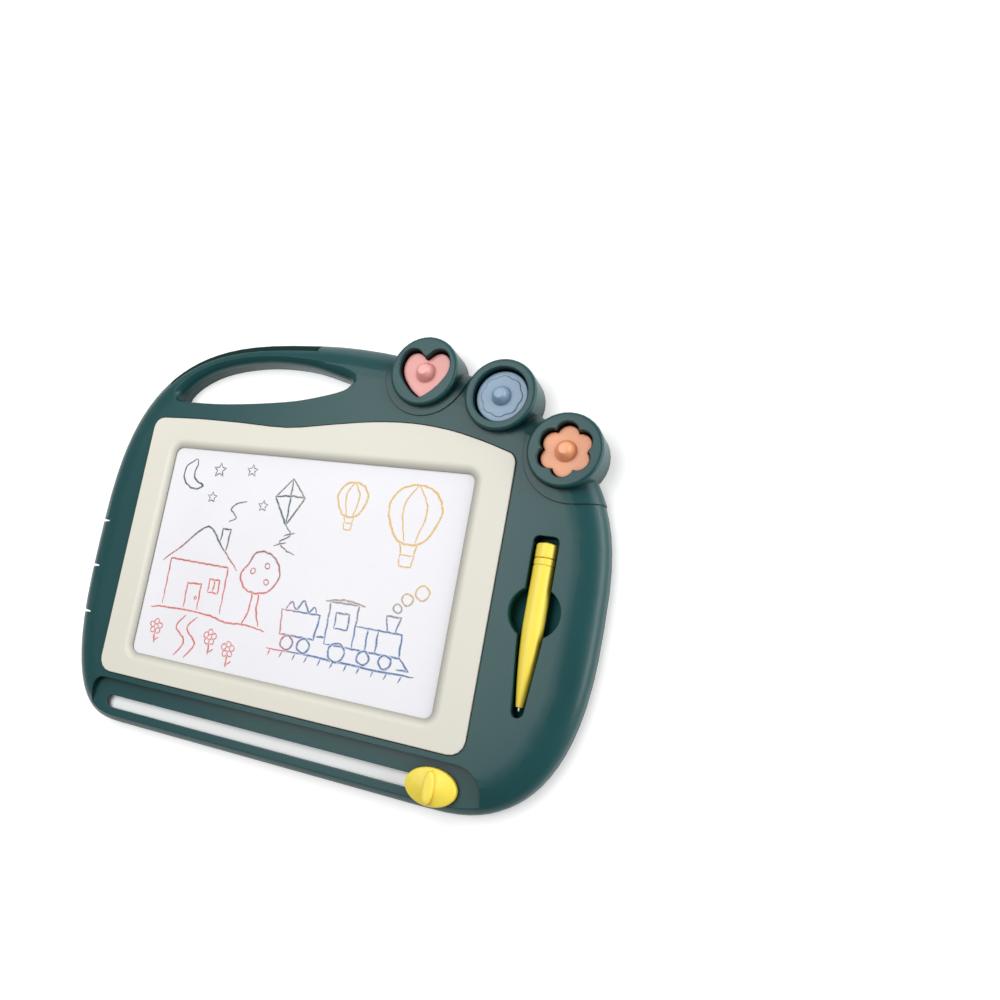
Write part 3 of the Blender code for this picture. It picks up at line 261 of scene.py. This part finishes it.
def cells(n):
    """Distance from the middle of the nearest honeycomb cell, one at its walls."""
    place = n.axes()
    rows = CELL_PITCH * math.sqrt(3)
    best = None
    for shift in (0.0, 0.5):
        # Whole cells are added so that no place is below zero
        x = n.maths("ADD", n.maths("DIVIDE", place["X"], CELL_PITCH), shift + CELLS_AWAY)
        y = n.maths("ADD", n.maths("DIVIDE", place["Y"], rows), shift + CELLS_AWAY)
        across = n.maths("ABSOLUTE", n.maths("SUBTRACT", n.maths("FRACT", x), 0.5))
        along = n.maths("ABSOLUTE", n.maths("SUBTRACT", n.maths("FRACT", y), 0.5))
        slanted = n.maths(
            "ADD", n.maths("MULTIPLY", across, SLANT_ACROSS), n.maths("MULTIPLY", along, SLANT_ALONG)
        )
        reach = n.maths("MULTIPLY", n.maths("MAXIMUM", across, slanted), 2.0)
        best = reach if best is None else n.maths("MINIMUM", best, reach)
    return best


SCREEN_SPECULAR = 0.4
FILM_WALL_FROM = 0.8
FILM_WALL_SHARE = 0.07
FILM_FLECK_SPAN = (0.55, 0.75, 0.0, 0.10)
FILM_ROUGH = (0.30, 0.38)
FILM_GRAIN = 0.00002


def film():
    """Clear film over the honeycomb cells, whose walls just show through it."""
    dull = colour(236, 235, 240)
    bright = colour(241, 240, 245)
    fleck_tone = colour(196, 196, 210)
    wall_tone = colour(170, 172, 190)
    n = Nodes("screen_film")
    wall = n.span(cells(n), FILM_WALL_FROM, 1.0)
    cloud = n.noise(scale=14, detail=3)
    fleck = n.noise(scale=700, detail=2)
    flecked = n.mix(n.span(fleck, *FILM_FLECK_SPAN), n.mix(n.spread(cloud), dull, bright), fleck_tone)
    base = n.mix(n.maths("MULTIPLY", wall, FILM_WALL_SHARE), flecked, wall_tone)
    n.put(SCREEN_SPECULAR, n.shader.inputs["Specular IOR Level"])
    return n.surface(base, n.spread(cloud, *FILM_ROUGH), n.bump(n.maths("ADD", wall, fleck), FILM_GRAIN))


CORE_WALL_FROM = 0.75
CORE_WALL_HEIGHT = 0.0001
CORE_ROUGH = (0.65, 0.45)


def core():
    """Milky fluid in honeycomb cells."""
    thin_milk = colour(214, 216, 220)
    thick_milk = colour(232, 233, 238)
    wall_tone = colour(240, 240, 240)
    n = Nodes("cells_core")
    wall = n.span(cells(n), CORE_WALL_FROM, 1.0)
    milk = n.mix(n.spread(n.noise(scale=60, detail=3)), thin_milk, thick_milk)
    base = n.mix(wall, milk, wall_tone)
    return n.surface(base, n.span(wall, 0.0, 1.0, *CORE_ROUGH), n.bump(wall, CORE_WALL_HEIGHT))


CUT_EDGE = 0.0002
STEEL_STAIN_SPAN = (0.35, 0.7)
STEEL_ROUGH = (0.25, 0.42)
STEEL_MARKS = 0.00001


def steel():
    """Zinc-plated steel with turning marks and small stains."""
    stained = colour(150, 152, 156)
    clean = colour(205, 206, 210)
    n = Nodes("steel")
    stain = n.noise(scale=400, detail=3)
    marks = n.noise(scale=3000, detail=1)
    base = n.mix(n.span(stain, *STEEL_STAIN_SPAN), stained, clean)
    n.put(1.0, n.shader.inputs["Metallic"])
    return n.surface(base, n.spread(stain, *STEEL_ROUGH), n.bump(marks, STEEL_MARKS, n.rounded(CUT_EDGE)))


MAGNET_PIT_SPAN = (0.4, 0.7)
MAGNET_ROUGH = (0.62, 0.78)
MAGNET_PITS = 0.00003


def magnet_sheet():
    """Flexible magnet: black, matt and slightly pitted."""
    black = colour(34, 34, 36)
    dusty = colour(58, 58, 60)
    n = Nodes("magnet_black")
    pit = n.noise(scale=1500, detail=2)
    base = n.mix(n.span(pit, *MAGNET_PIT_SPAN), black, dusty)
    return n.surface(base, n.spread(pit, *MAGNET_ROUGH), n.bump(pit, MAGNET_PITS, n.rounded(CUT_EDGE)))


# A material for each slot

# Painted shade: the bezel's slope darkens from its top down to the film's edge
BEZEL_SHADE_HEIGHTS = (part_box("front_film")[1].z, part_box("bezel")[1].z)
STAMP = dict(rough=0.3, tint=0.03, light_edge=0.25, reach=0.004)
# The second, darker colour of a plastic is painted shade for its recesses and its foot
PLASTICS = {
    "shell_green": dict(
        base=colour(24, 72, 74), painted_shade=colour(6, 28, 28), rough=0.34, edge_radius=0.0008,
        light_edge=0.07, specular=0.36,
    ),
    "cover_grey": dict(
        base=colour(150, 146, 150), painted_shade=colour(40, 48, 50), rough=0.5, grain=0.00004,
    ),
    "track_white": dict(base=colour(250, 252, 252), rough=0.4, tint=0.02, light_edge=0.0),
    "bezel_cream": dict(
        base=colour(224, 221, 208), painted_shade=colour(116, 114, 104), rough=0.45, tint=0.02,
        edge_radius=0.0006, light_edge=0.05, reach=0.006, foot=BEZEL_SHADE_HEIGHTS,
    ),
    "plastic_yellow": dict(
        base=colour(254, 228, 84), painted_shade=colour(236, 194, 56), rough=0.36, tint=0.03,
        light_edge=0.2, reach=0.006,
    ),
    "stamp_pink": dict(STAMP, base=colour(240, 168, 162), painted_shade=colour(170, 84, 80)),
    "stamp_blue": dict(STAMP, base=colour(134, 163, 187), painted_shade=colour(78, 106, 134)),
    "stamp_peach": dict(STAMP, base=colour(247, 170, 124), painted_shade=colour(196, 96, 56)),
}
MATERIALS = {slot: plastic(slot, **looks) for slot, looks in PLASTICS.items()}
MATERIALS["film_white"] = film()
MATERIALS["core_white"] = core()
MATERIALS["magnet_black"] = magnet_sheet()
MATERIALS["steel"] = steel()


# Skins: each solid's own surface, welded and shaded smooth over its curves

CROSS_ARM = 0.62
CROSS_HALF_WIDTH = 0.17
CROSS_MOUTH = 1.1
CROSS_ROOT = 0.5
CROSS_DEPTH = 0.5
CROSS_CLEAR = 0.0002


def cut_cross(screw, node):
    """Sink a driver's cross, which narrows as it goes in, into the screw's head.
    The cross is sized in shares of the head's radius, and starts just clear of the head."""
    low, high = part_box(node)
    middle = (low + high) / 2
    radius = (high.x - low.x) / 2
    arm = CROSS_ARM * radius
    half = CROSS_HALF_WIDTH * radius
    quarter = [(arm, -half), (arm, half), (half, half)]
    plan = []
    for _ in range(4):
        plan += quarter
        quarter = [(-y, x) for x, y in quarter]
    heights = ((CROSS_MOUTH, low.z - CROSS_CLEAR), (CROSS_ROOT, low.z + CROSS_DEPTH * radius))
    work = bmesh.new()
    mouth, root = [
        [work.verts.new((middle.x + x * share, middle.y + y * share, z)) for x, y in plan]
        for share, z in heights
    ]
    for i in range(len(plan)):
        work.faces.new((mouth[i - 1], mouth[i], root[i], root[i - 1]))
    work.faces.new(mouth)
    work.faces.new(root)
    bmesh.ops.recalc_face_normals(work, faces=work.faces)
    cutter = built("cross", work)
    boolean = screw.modifiers.new("cross", "BOOLEAN")
    boolean.object = cutter
    boolean.solver = "EXACT"
    cut = screw.evaluated_get(bpy.context.evaluated_depsgraph_get())
    screw.data = bpy.data.meshes.new_from_object(cut)
    screw.modifiers.clear()
    bpy.data.objects.remove(cutter)


WELD_REACH = 0.000002
FLAT_ANGLE = math.radians(0.6)
SHARP_ANGLE = math.radians(32)
FLAT_WEIGHT = 90


def skin(node):
    """The node's own mesh with its material, riding on the node's body in the node's place."""
    source = frame["nodes"][node].data
    work = bmesh.new()
    corners = [work.verts.new(v.co) for v in source.vertices]
    for face in source.polygons:
        work.faces.new([corners[i] for i in face.vertices])
    bmesh.ops.remove_doubles(work, verts=work.verts, dist=WELD_REACH)
    bmesh.ops.dissolve_limit(work, angle_limit=FLAT_ANGLE, verts=work.verts, edges=work.edges)
    made = built(f"{node}_skin", work)
    made.data.materials.append(MATERIALS[SLOT_OF[node]])
    if "screw" in node:
        cut_cross(made, node)
    made.data.shade_smooth()
    made.data.set_sharp_from_angle(angle=SHARP_ANGLE)
    weighted = made.modifiers.new("flat faces stay flat", "WEIGHTED_NORMAL")
    weighted.keep_sharp = True
    weighted.weight = FLAT_WEIGHT
    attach(made, NODE_BODY[node])
    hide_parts(node)
    return made


skins = {node: skin(node) for node in frame["nodes"]}


def one_more(mesh, material):
    """Add a material to the mesh and give its index."""
    mesh.materials.append(material)
    return len(mesh.materials) - 1


# Collar round the handle's hole

HOLE_MIDDLE = Vector((-0.075, 0.118))
HOLE_REACH = 0.088
HOLE_FOOT_Y = 0.098
COLLAR_SHADED_X = -0.135
COLLAR_LIT_X = -0.010
COLLAR_STEEPEST = 0.9
COLLAR_SPECK_SPAN = (0.35, 0.7, 0.0, 0.15)
COLLAR_ROUGH = (0.46, 0.56)
COLLAR_GRAIN = 0.00004
COLLAR_EDGE = 0.0004


def collar_teal():
    """Teal plastic, with painted shade that darkens it towards the left end of the handle's hole."""
    dark = colour(46, 72, 71)
    pale = colour(134, 150, 154)
    speck = colour(70, 88, 88)
    n = Nodes("collar_teal")
    # Painted shade: from pale teal to dark teal towards the hole's left end
    along = n.span(n.axes()["X"], COLLAR_SHADED_X, COLLAR_LIT_X, smooth=True)
    cloud = n.noise(scale=60, detail=3)
    ripple = n.noise(scale=260, detail=2)
    base = n.mix(n.span(cloud, *COLLAR_SPECK_SPAN), n.mix(along, dark, pale), speck)
    relief = n.bump(ripple, COLLAR_GRAIN, n.rounded(COLLAR_EDGE))
    return n.surface(base, n.spread(cloud, *COLLAR_ROUGH), relief)


def texture_collar():
    """Give the collar's material to the cover's upright faces that look into the hole."""
    mesh = skins["back_cover"].data
    teal = one_more(mesh, collar_teal())
    for face in mesh.polygons:
        inward = HOLE_MIDDLE - face.center.xy
        faces_hole = face.normal.xy.dot(inward) > 0 and abs(face.normal.z) < COLLAR_STEEPEST
        if faces_hole and inward.length < HOLE_REACH and face.center.y > HOLE_FOOT_Y:
            face.material_index = teal


texture_collar()


# Matt step along the grip's rim in painted shade, and pen tray in painted light

MATT = dict(rough=0.75, light_edge=0.02, specular=0.15)
STEP_LOW = 0.0121
STEP_FLOOR = 0.0123
STEP_HIGH = 0.0172
GRIP_FOOT_Y = 0.04
LEVEL = 0.98
UPRIGHT = 0.02
TRAY_SIDE = 0.0115
TRAY_BELOW = 0.006
TRAY_ABOVE = 0.010
TRAY_LOW = 0.006
TRAY_HIGH = 0.0165
TRAY_UNDERSIDE = -0.1


def matt_and_painted_recesses():
    """The grip's step and the pen tray are matt; the step's darker green is painted shade, the tray's
    paler green painted light.
    """
    mesh = skins["front_shell"].data
    # Painted shade: a darker green for the step along the grip
    step = one_more(
        mesh,
        plastic("grip_step_painted_shade", base=colour(20, 52, 48), painted_shade=colour(12, 36, 34), grain=0.00008, **MATT),
    )
    # Painted light: a paler green for the pen tray, lifting the shade in the pocket
    tray = one_more(
        mesh,
        plastic("pen_tray_painted_light", base=colour(32, 90, 89), painted_shade=colour(30, 84, 83), grain=0.00006, **MATT),
    )
    low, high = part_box("pen_barrel")
    for face in mesh.polygons:
        x, y, z = face.center
        up = face.normal.z
        step_floor = up > LEVEL and z < STEP_FLOOR
        step_wall = abs(up) < UPRIGHT and face.normal.y > 0
        by_grip = STEP_LOW < z < STEP_HIGH and y > GRIP_FOOT_Y and x < 0
        # Painted shade: the step's faces take the darker green
        if by_grip and (step_floor or step_wall):
            face.material_index = step
        beside_pen = low.x - TRAY_SIDE < x < high.x + TRAY_SIDE
        along_pen = low.y - TRAY_BELOW < y < high.y + TRAY_ABOVE
        # Painted light: the tray's faces take the paler green
        if beside_pen and along_pen and TRAY_LOW < z < TRAY_HIGH and up > TRAY_UNDERSIDE:
            face.material_index = tray


matt_and_painted_recesses()


# Doodle on the screen, in powder that shows through the film: lines in millimetres

MM_PER_M = 1000
SCREEN_MIDDLE_X = -0.01555
SCREEN_MIDDLE_Y = -0.0189
FILM_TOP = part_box("front_film")[1].z
CURVE_STEPS = 7
STRAIGHT_STEP = 2.5


def curve_at(a, b, c, d, t):
    """One coordinate of a Catmull-Rom curve, on the way from b to c."""
    slope = t * (c - a) / 2
    bend = t * t * (2 * a - 5 * b + 4 * c - d) / 2
    twist = t ** 3 * (3 * b - a - 3 * c + d) / 2
    return b + slope + bend + twist


def smooth(points, closed):
    """A curve through the points."""
    ends = points[-1:] + points + points[:2] if closed else points[:1] + points + points[-1:]
    spans = len(points) if closed else len(points) - 1
    found = []
    for i in range(spans):
        near = ends[i : i + 4]
        for step in range(CURVE_STEPS):
            t = step / CURVE_STEPS
            found.append(tuple(curve_at(*along, t) for along in zip(*near)))
    return found + [found[0] if closed else points[-1]]


def straight(points):
    """The same corners with points between them, so that straight lines waver too."""
    found = [points[0]]
    for (ax, ay), (bx, by) in zip(points, points[1:]):
        count = max(1, round(math.hypot(bx - ax, by - ay) / STRAIGHT_STEP))
        for i in range(1, count + 1):
            found.append((ax + (bx - ax) * i / count, ay + (by - ay) * i / count))
    return found


LINE = 2.2
THIN_LINE = 1.8
STAR_LINE = 1.6
FINE_LINE = 1.5
FINEST_LINE = 1.4
STROKE_RISE = 0.00003
STROKE_ROOT = 0.00003
LEVEL_RISE = 0.000006
END_SHARE = 0.35
END_POWER = 0.35
WIDTH_SWING = 0.12
WIDTH_WAVE = (1.1, 0.7)
SIDE_SWING = 0.25
SIDE_WAVE = (0.9, -0.6)


def wave(x, y, pace):
    return math.sin(pace[0] * x + pace[1] * y)


def stroke(work, rim, points, level, width=LINE, closed=False, curved=True):
    """One raised line about the screen's middle. An open line gets thinner at its ends.
    The rim layer is one along the line's sides and nothing along its middle."""
    line = smooth(points, closed) if curved else straight(points)
    last = len(line) - 1
    top = FILM_TOP + STROKE_RISE + level * LEVEL_RISE
    foot = FILM_TOP - STROKE_ROOT
    section = ((-1, top), (0, top), (1, top), (1, foot), (-1, foot))
    rows = []
    for i, (x, y) in enumerate(line):
        before = line[max(0, i - 1)]
        after = line[min(last, i + 1)]
        length = math.hypot(after[0] - before[0], after[1] - before[1]) or 1
        side_x = (before[1] - after[1]) / length
        side_y = (after[0] - before[0]) / length
        arch = abs(math.sin(math.pi * i / last)) ** END_POWER
        swell = 1 if closed else END_SHARE + (1 - END_SHARE) * arch
        half = width / 2 * swell * (1 + WIDTH_SWING * wave(x, y, WIDTH_WAVE))
        wobble = SIDE_SWING * wave(x, y, SIDE_WAVE)
        row = []
        for reach, height in section:
            aside = half * reach + wobble
            px = SCREEN_MIDDLE_X + (x + side_x * aside) / MM_PER_M
            py = SCREEN_MIDDLE_Y + (y + side_y * aside) / MM_PER_M
            vert = work.verts.new((px, py, height))
            vert[rim] = abs(reach)
            row.append(vert)
        rows.append(row)
    if closed:
        # The last row lies on the first, so the first takes its place
        for vert in rows.pop():
            work.verts.remove(vert)
        rows.append(rows[0])
    for low, high in zip(rows, rows[1:]):
        for k in range(len(section)):
            work.faces.new((low[k], low[k - 1], high[k - 1], high[k]))
    if not closed:
        work.faces.new(rows[0])
        work.faces.new(rows[-1][::-1])


POWDER_RIGHT = (-0.035, 0.012)
POWDER_UP = (-0.045, 0.0)
POWDER_DRIFT = 0.012
POWDER_GREY_SPAN = (0.4, 0.7, 0.0, 0.2)
POWDER_RIM_SPAN = (0.3, 1.0, 1.0, 0.0)
POWDER_GAP_SPAN = (0.30, 0.48, 0.6, 1.0)
POWDER_ROUGH = (0.3, 0.42)
POWDER_GRAIN = 0.00001


def powder():
    """Fine iron powder in tinted fluid: its colour goes with the place on the screen."""
    low_left = colour(214, 98, 76)
    low_right = colour(40, 98, 158)
    high_left = colour(38, 78, 78)
    high_right = colour(226, 180, 62)
    grey = colour(110, 106, 110)
    bare = colour(240, 240, 247)
    n = Nodes("drawn_powder")
    place = n.axes()
    drift = n.spread(n.noise(scale=14, detail=1), -POWDER_DRIFT, POWDER_DRIFT)
    right = n.span(n.maths("ADD", place["X"], drift), *POWDER_RIGHT, smooth=True)
    up = n.span(n.maths("ADD", place["Y"], drift), *POWDER_UP, smooth=True)
    low = n.mix(right, low_left, low_right)
    high = n.mix(right, high_left, high_right)
    grain = n.noise(scale=1400, detail=2)
    tone = n.mix(n.span(grain, *POWDER_GREY_SPAN), n.mix(up, low, high), grey)
    rim = n.add("ShaderNodeAttribute", attribute_name="rim").outputs["Fac"]
    gaps = n.noise(scale=700, detail=2)
    cover = n.maths("MULTIPLY", n.span(rim, *POWDER_RIM_SPAN), n.span(gaps, *POWDER_GAP_SPAN))
    n.put(SCREEN_SPECULAR, n.shader.inputs["Specular IOR Level"])
    return n.surface(n.mix(cover, bare, tone), n.spread(grain, *POWDER_ROUGH), n.bump(grain, POWDER_GRAIN))


POWDER = powder()


def drawing(name, strokes):
    """One piece of the doodle. Each stroke lies a little higher than the one before."""
    work = bmesh.new()
    rim = work.verts.layers.float.new("rim")
    for level, (points, options) in enumerate(strokes):
        stroke(work, rim, points, level, **options)
    bmesh.ops.recalc_face_normals(work, faces=work.faces)
    made = built(name, work)
    made.data.materials.append(POWDER)
    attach(made, "board")


# What the doodle shows: each motif has its place, its size and the points of its lines

def lines(paths, x=0, y=0, size=1.0, **options):
    """A stroke for each path, moved to x and y and scaled."""
    return [([(x + px * size, y + py * size) for px, py in points], options) for points in paths]


def ring(x, y, radius, points=9):
    turns = [math.tau * i / points for i in range(points)]
    return [(x + radius * math.cos(t), y + radius * math.sin(t)) for t in turns]


def house():
    x, y, size = -82, -44, 1.42
    walls = [(-19, 1.5), (-19.5, 27), (19, 26.5), (19.5, 1.5)]
    roof = [(-25, 25), (-13, 35.5), (0.5, 47), (12, 37), (25, 25.5)]
    door = [(-4.5, 1.5), (-5, 15), (4, 15.5), (4.5, 1.5)]
    window = [(9, 12), (15.5, 12), (15.5, 19), (9, 19), (9, 12)]
    window_bar = [(12.2, 12), (12.3, 19)]
    chimney = [(10, 38), (10.5, 47), (15.5, 47), (15, 34)]
    smoke = [(13, 51), (17, 54), (13, 58), (17, 62), (22, 63)]
    door_knob = ring(x + 3, y + 11, radius=0.9)
    return (
        lines([walls, door, window, window_bar, chimney], x, y, size, curved=False)
        + lines([roof], x, y, size)
        + lines([smoke], x, y, size, width=THIN_LINE)
        + lines([door_knob], closed=True, width=FINEST_LINE)
    )


def tree():
    x, y, size = -26, -46, 1.3
    crown = [
        (-9, 21), (-13, 28), (-9, 35), (-5, 42), (3, 42.5),
        (10, 38), (13, 30), (9, 22), (2, 19), (-4, 19),
    ]
    left_side = [(-2.5, 19), (-2.6, 9), (-5.5, 0)]
    right_side = [(2.2, 19), (2.5, 9), (6, 0.5)]
    places = ((-5, 31), (4, 35), (5, 26))
    fruit = [ring(x + fx * size, y + fy * size, radius=2, points=7) for fx, fy in places]
    return (
        lines([crown], x, y, size, closed=True)
        + lines([left_side, right_side], x, y, size)
        + lines(fruit, closed=True, width=FINE_LINE)
    )


PATH_TOP = -47
PATH_WIDTH = 11
PATH_NARROWING = 20
PETAL_TURNS = (0.3, 1.55, 2.8, 4.1, 5.35)
PETAL_REACH = 3.8
PETAL_RADIUS = 2.1


def petal(x, y, turn):
    """One petal of the flower whose middle is at x and y."""
    return ring(x + PETAL_REACH * math.cos(turn), y + PETAL_REACH * math.sin(turn), PETAL_RADIUS, points=7)


def garden():
    ground = [(-119, -46), (-106, -44), (-66, -44), (-48, -47), (-30, -46), (-12, -48)]
    path = [(-84, PATH_TOP), (-91, -57), (-81, -67), (-88, -79)]
    far_side = [(x + PATH_WIDTH + (y - PATH_TOP) / PATH_NARROWING, y) for x, y in path]
    strokes = lines([ground, path, far_side])
    for x, y in ((-110, -60), (-58, -60), (-40, -66)):
        petals = [petal(x, y, turn) for turn in PETAL_TURNS]
        stem = [(x, y - 5), (x + 1, y - 13)]
        leaf = [(x + 1, y - 11), (x + 5, y - 8)]
        strokes += lines(petals, closed=True, width=FINEST_LINE)
        strokes += lines([stem])
        strokes += lines([leaf], width=FINE_LINE)
    return strokes


TRAIN_X = 62
TRAIN_Y = -56
WHEEL_Y = TRAIN_Y + 3.5


def engine():
    boiler = [(-2, 24), (34, 24), (34.5, 8), (-24, 8)]
    cab = [(-24, 7.5), (-24.5, 38), (-2, 38.5), (-2, 8)]
    window = [(-18.5, 20), (-8, 20), (-8, 31), (-18.5, 31), (-18.5, 20)]
    chimney = [(22.5, 24), (20, 35), (31, 35), (28.5, 24)]
    guard = [(34.5, 9), (43, 0.5), (34, 0.5)]
    rear_band = [(8, 24), (8.3, 8.5)]
    front_band = [(16, 23.5), (16.3, 8.5)]
    roof = [(-29, 38), (-13, 40.5), (3, 38.5)]
    puffs = ((27, 41, 3), (33, 48, 4), (43, 54, 5))
    wheels = ((-13, 6.5), (8, 4.6), (25, 4.6))
    cornered = [boiler, cab, window, chimney, guard, rear_band, front_band]
    steam = [ring(TRAIN_X + px, TRAIN_Y + py, radius, points=8) for px, py, radius in puffs]
    rims = [ring(TRAIN_X + px, WHEEL_Y, radius) for px, radius in wheels]
    return (
        lines(cornered, TRAIN_X, TRAIN_Y, curved=False)
        + lines([roof], TRAIN_X, TRAIN_Y)
        + lines(steam, closed=True, width=THIN_LINE)
        + lines(rims, closed=True)
    )


SLEEPERS = 11
SLEEPER_PITCH = 10.5


def wagon():
    tub = [(-63, 27), (-61, 9), (-33, 9), (-31, 27), (-63, 26.5)]
    load = [(-60, 27), (-56, 33), (-51, 28), (-46, 35), (-41, 28), (-37, 32), (-34, 27)]
    rail = [(-70, -3), (-30, -2.4), (10, -3), (48, -2.6)]
    coupling = [(-31, 12), (-24, 12)]
    wheels = [ring(TRAIN_X + px, WHEEL_Y, radius=5) for px in (-54, -40)]
    sleepers = [
        [(-66 + SLEEPER_PITCH * i, -3), (-68 + SLEEPER_PITCH * i, -8)] for i in range(SLEEPERS)
    ]
    return (
        lines([tub], TRAIN_X, TRAIN_Y, curved=False)
        + lines([load, rail, coupling], TRAIN_X, TRAIN_Y)
        + lines(wheels, closed=True)
        + lines(sleepers, TRAIN_X, TRAIN_Y, curved=False, width=THIN_LINE)
    )


def balloon(x, y, size):
    envelope = [
        (0, 32), (13, 28), (20, 16), (17, 3), (8, -9), (-8, -9), (-17, 3), (-20, 16), (-13, 28),
    ]
    gores = [[(0, 32), (-9, 15), (-4, -9)], [(0, 32), (9, 15), (4, -9)]]
    basket = [(-5.5, -18), (5.5, -18), (4.5, -26), (-4.5, -26), (-5.5, -18)]
    ropes = [[(-7, -9), (-4.5, -18)], [(7, -9), (4.5, -18)]]
    return (
        lines([envelope], x, y, size, closed=True)
        + lines(gores, x, y, size, width=THIN_LINE)
        + lines([basket, *ropes], x, y, size, curved=False, width=THIN_LINE)
    )


def balloons():
    return balloon(88, 40, 1.0) + balloon(38, 50, 0.6)


def kite():
    x, y, size = -14, 50, 1.15
    sides = [(0, 15), (-11, 2), (1, -16), (11, 3), (0, 15)]
    spine = [(0, 15), (1, -16)]
    spar = [(-11, 2), (0.5, 3.4), (11, 3)]
    tail = [(1, -16), (6, -22), (-1, -27), (5, -32), (12, -34)]
    bows = [[(1, -23), (9, -20)], [(-5, -30), (4, -27)]]
    return (
        lines([sides, spine], x, y, size, curved=False)
        + lines([spar], x, y, size)
        + lines([tail], x, y, size, width=THIN_LINE)
        + lines(bows, x, y, size, curved=False, width=THIN_LINE)
    )


STAR_TIPS = 5
STAR_INNER = 0.45


def star(x, y, size):
    found = []
    for i in range(2 * STAR_TIPS + 1):
        turn = math.pi / 2 + math.pi * i / STAR_TIPS
        reach = size if i % 2 == 0 else size * STAR_INNER
        found.append((x + reach * math.cos(turn), y + reach * math.sin(turn)))
    return found


def night():
    moon = [
        (-106, 75), (-115, 68), (-114, 57), (-104, 51), (-95, 54),
        (-103, 58), (-106, 64), (-104, 71), (-106, 75),
    ]
    places = ((-82, 68, 6), (-52, 70, 5), (-36, 44, 4.5), (-84, 46, 4.5))
    stars = [star(x, y, size) for x, y, size in places]
    return lines([moon]) + lines(stars, curved=False, width=STAR_LINE)


drawing("drawn_house", house())
drawing("drawn_tree", tree())
drawing("drawn_garden", garden())
drawing("drawn_engine", engine())
drawing("drawn_wagon", wagon())
drawing("drawn_balloons", balloons())
drawing("drawn_kite", kite())
drawing("drawn_night", night())


# Floor, light and camera

FLOOR_HALF_WIDTH = 4
FLOOR_DROP = 0.0002
FLOOR_ROUGHNESS = 0.9
GLOW_NEAR = 0.4
GLOW_FAR = 1.6
GLOW_LEAST = 0.35


def floor():
    """A pale floor that glows more the farther away it is, so that it ends in plain white.
    Only the camera and glossy reflections see the glow."""
    work = bmesh.new()
    bmesh.ops.create_grid(work, x_segments=2, y_segments=2, size=FLOOR_HALF_WIDTH)
    made = built("floor", work)
    made.location.z = -FLOOR_DROP
    n = Nodes("floor_white")
    tone = n.mix(n.noise(scale=3, detail=2), colour(236, 236, 236), colour(240, 240, 240))
    n.put(tone, n.shader.inputs["Base Color"])
    n.put(FLOOR_ROUGHNESS, n.shader.inputs["Roughness"])
    away = n.add("ShaderNodeVectorMath", operation="LENGTH")
    n.put(n.coords, away.inputs[0])
    strength = n.span(away.outputs["Value"], GLOW_NEAR, GLOW_FAR, GLOW_LEAST, 1.0, smooth=True)
    glow = n.add("ShaderNodeEmission")
    n.put(strength, glow.inputs["Strength"])
    dark = n.add("ShaderNodeEmission")
    n.put(0.0, dark.inputs["Strength"])
    ray = n.add("ShaderNodeLightPath").outputs
    pick = n.add("ShaderNodeMixShader")
    n.put(n.maths("MAXIMUM", ray["Is Camera Ray"], ray["Is Glossy Ray"]), pick.inputs[0])
    n.put(dark.outputs[0], pick.inputs[1])
    n.put(glow.outputs[0], pick.inputs[2])
    both = n.add("ShaderNodeAddShader")
    n.put(n.shader.outputs[0], both.inputs[0])
    n.put(pick.outputs[0], both.inputs[1])
    n.put(both.outputs[0], n.tree.nodes["Material Output"].inputs["Surface"])
    made.data.materials.append(n.material)


def softbox(name, place, aim, width, height, power):
    """A rectangular lamp that looks at its aim."""
    data = bpy.data.lights.new(name, "AREA")
    data.shape = "RECTANGLE"
    data.size = width
    data.size_y = height
    data.energy = power
    made = added(name, data)
    made.location = place
    made.rotation_euler = (Vector(aim) - Vector(place)).to_track_quat("-Z", "Y").to_euler()


SKY_LIGHT = 0.24
SKY_SEEN = 1.0


def sky():
    """An even sky: white where the camera sees it, and dim as a light."""
    world = bpy.data.worlds.new("studio")
    bpy.context.scene.world = world
    world.use_nodes = True
    tree = world.node_tree
    background = tree.nodes["Background"]
    background.inputs["Color"].default_value = (1, 1, 1, 1)
    path = tree.nodes.new("ShaderNodeLightPath")
    span = tree.nodes.new("ShaderNodeMapRange")
    span.inputs["To Min"].default_value = SKY_LIGHT
    span.inputs["To Max"].default_value = SKY_SEEN
    tree.links.new(path.outputs["Is Camera Ray"], span.inputs["Value"])
    tree.links.new(span.outputs[0], background.inputs["Strength"])


CAMERA_PLACE = (0.3017, -0.0600, 0.5292)
CAMERA_RIGHT = (0.8996, 0.1901, -0.39316)
CAMERA_UP = (-0.12894, 0.97577, 0.17675)
CAMERA_BACK = (0.41724, -0.10831, 0.90232)
SENSOR_WIDTH = 36
LENS = 29.563
SHIFT_X = 0.10333
SHIFT_Y = 0.05667
CLIP_NEAR = 0.01
CLIP_FAR = 20


def camera():
    """The photo's view: where the camera stands and which way its own axes point."""
    data = bpy.data.cameras.new("camera")
    data.sensor_width = SENSOR_WIDTH
    data.lens = LENS
    data.shift_x = SHIFT_X
    data.shift_y = SHIFT_Y
    data.clip_start = CLIP_NEAR
    data.clip_end = CLIP_FAR
    made = added("camera", data)
    turn = Matrix((CAMERA_RIGHT, CAMERA_UP, CAMERA_BACK)).transposed()
    made.matrix_world = Matrix.Translation(CAMERA_PLACE) @ turn.to_4x4()
    bpy.context.scene.camera = made


floor()
sky()
softbox("key", place=(-0.38, 0.25, 1.10), aim=(-0.38, 0.25, 0), width=0.85, height=1.15, power=11.6)
softbox("side", place=(1.15, 0.30, 0.28), aim=(0.2, 0, 0.02), width=1.3, height=0.55, power=11)
softbox("back", place=(-0.05, 1.25, 0.26), aim=(-0.05, 0.15, 0), width=1.3, height=0.45, power=3)
camera()

bpy.context.scene.view_settings.view_transform = "Standard"
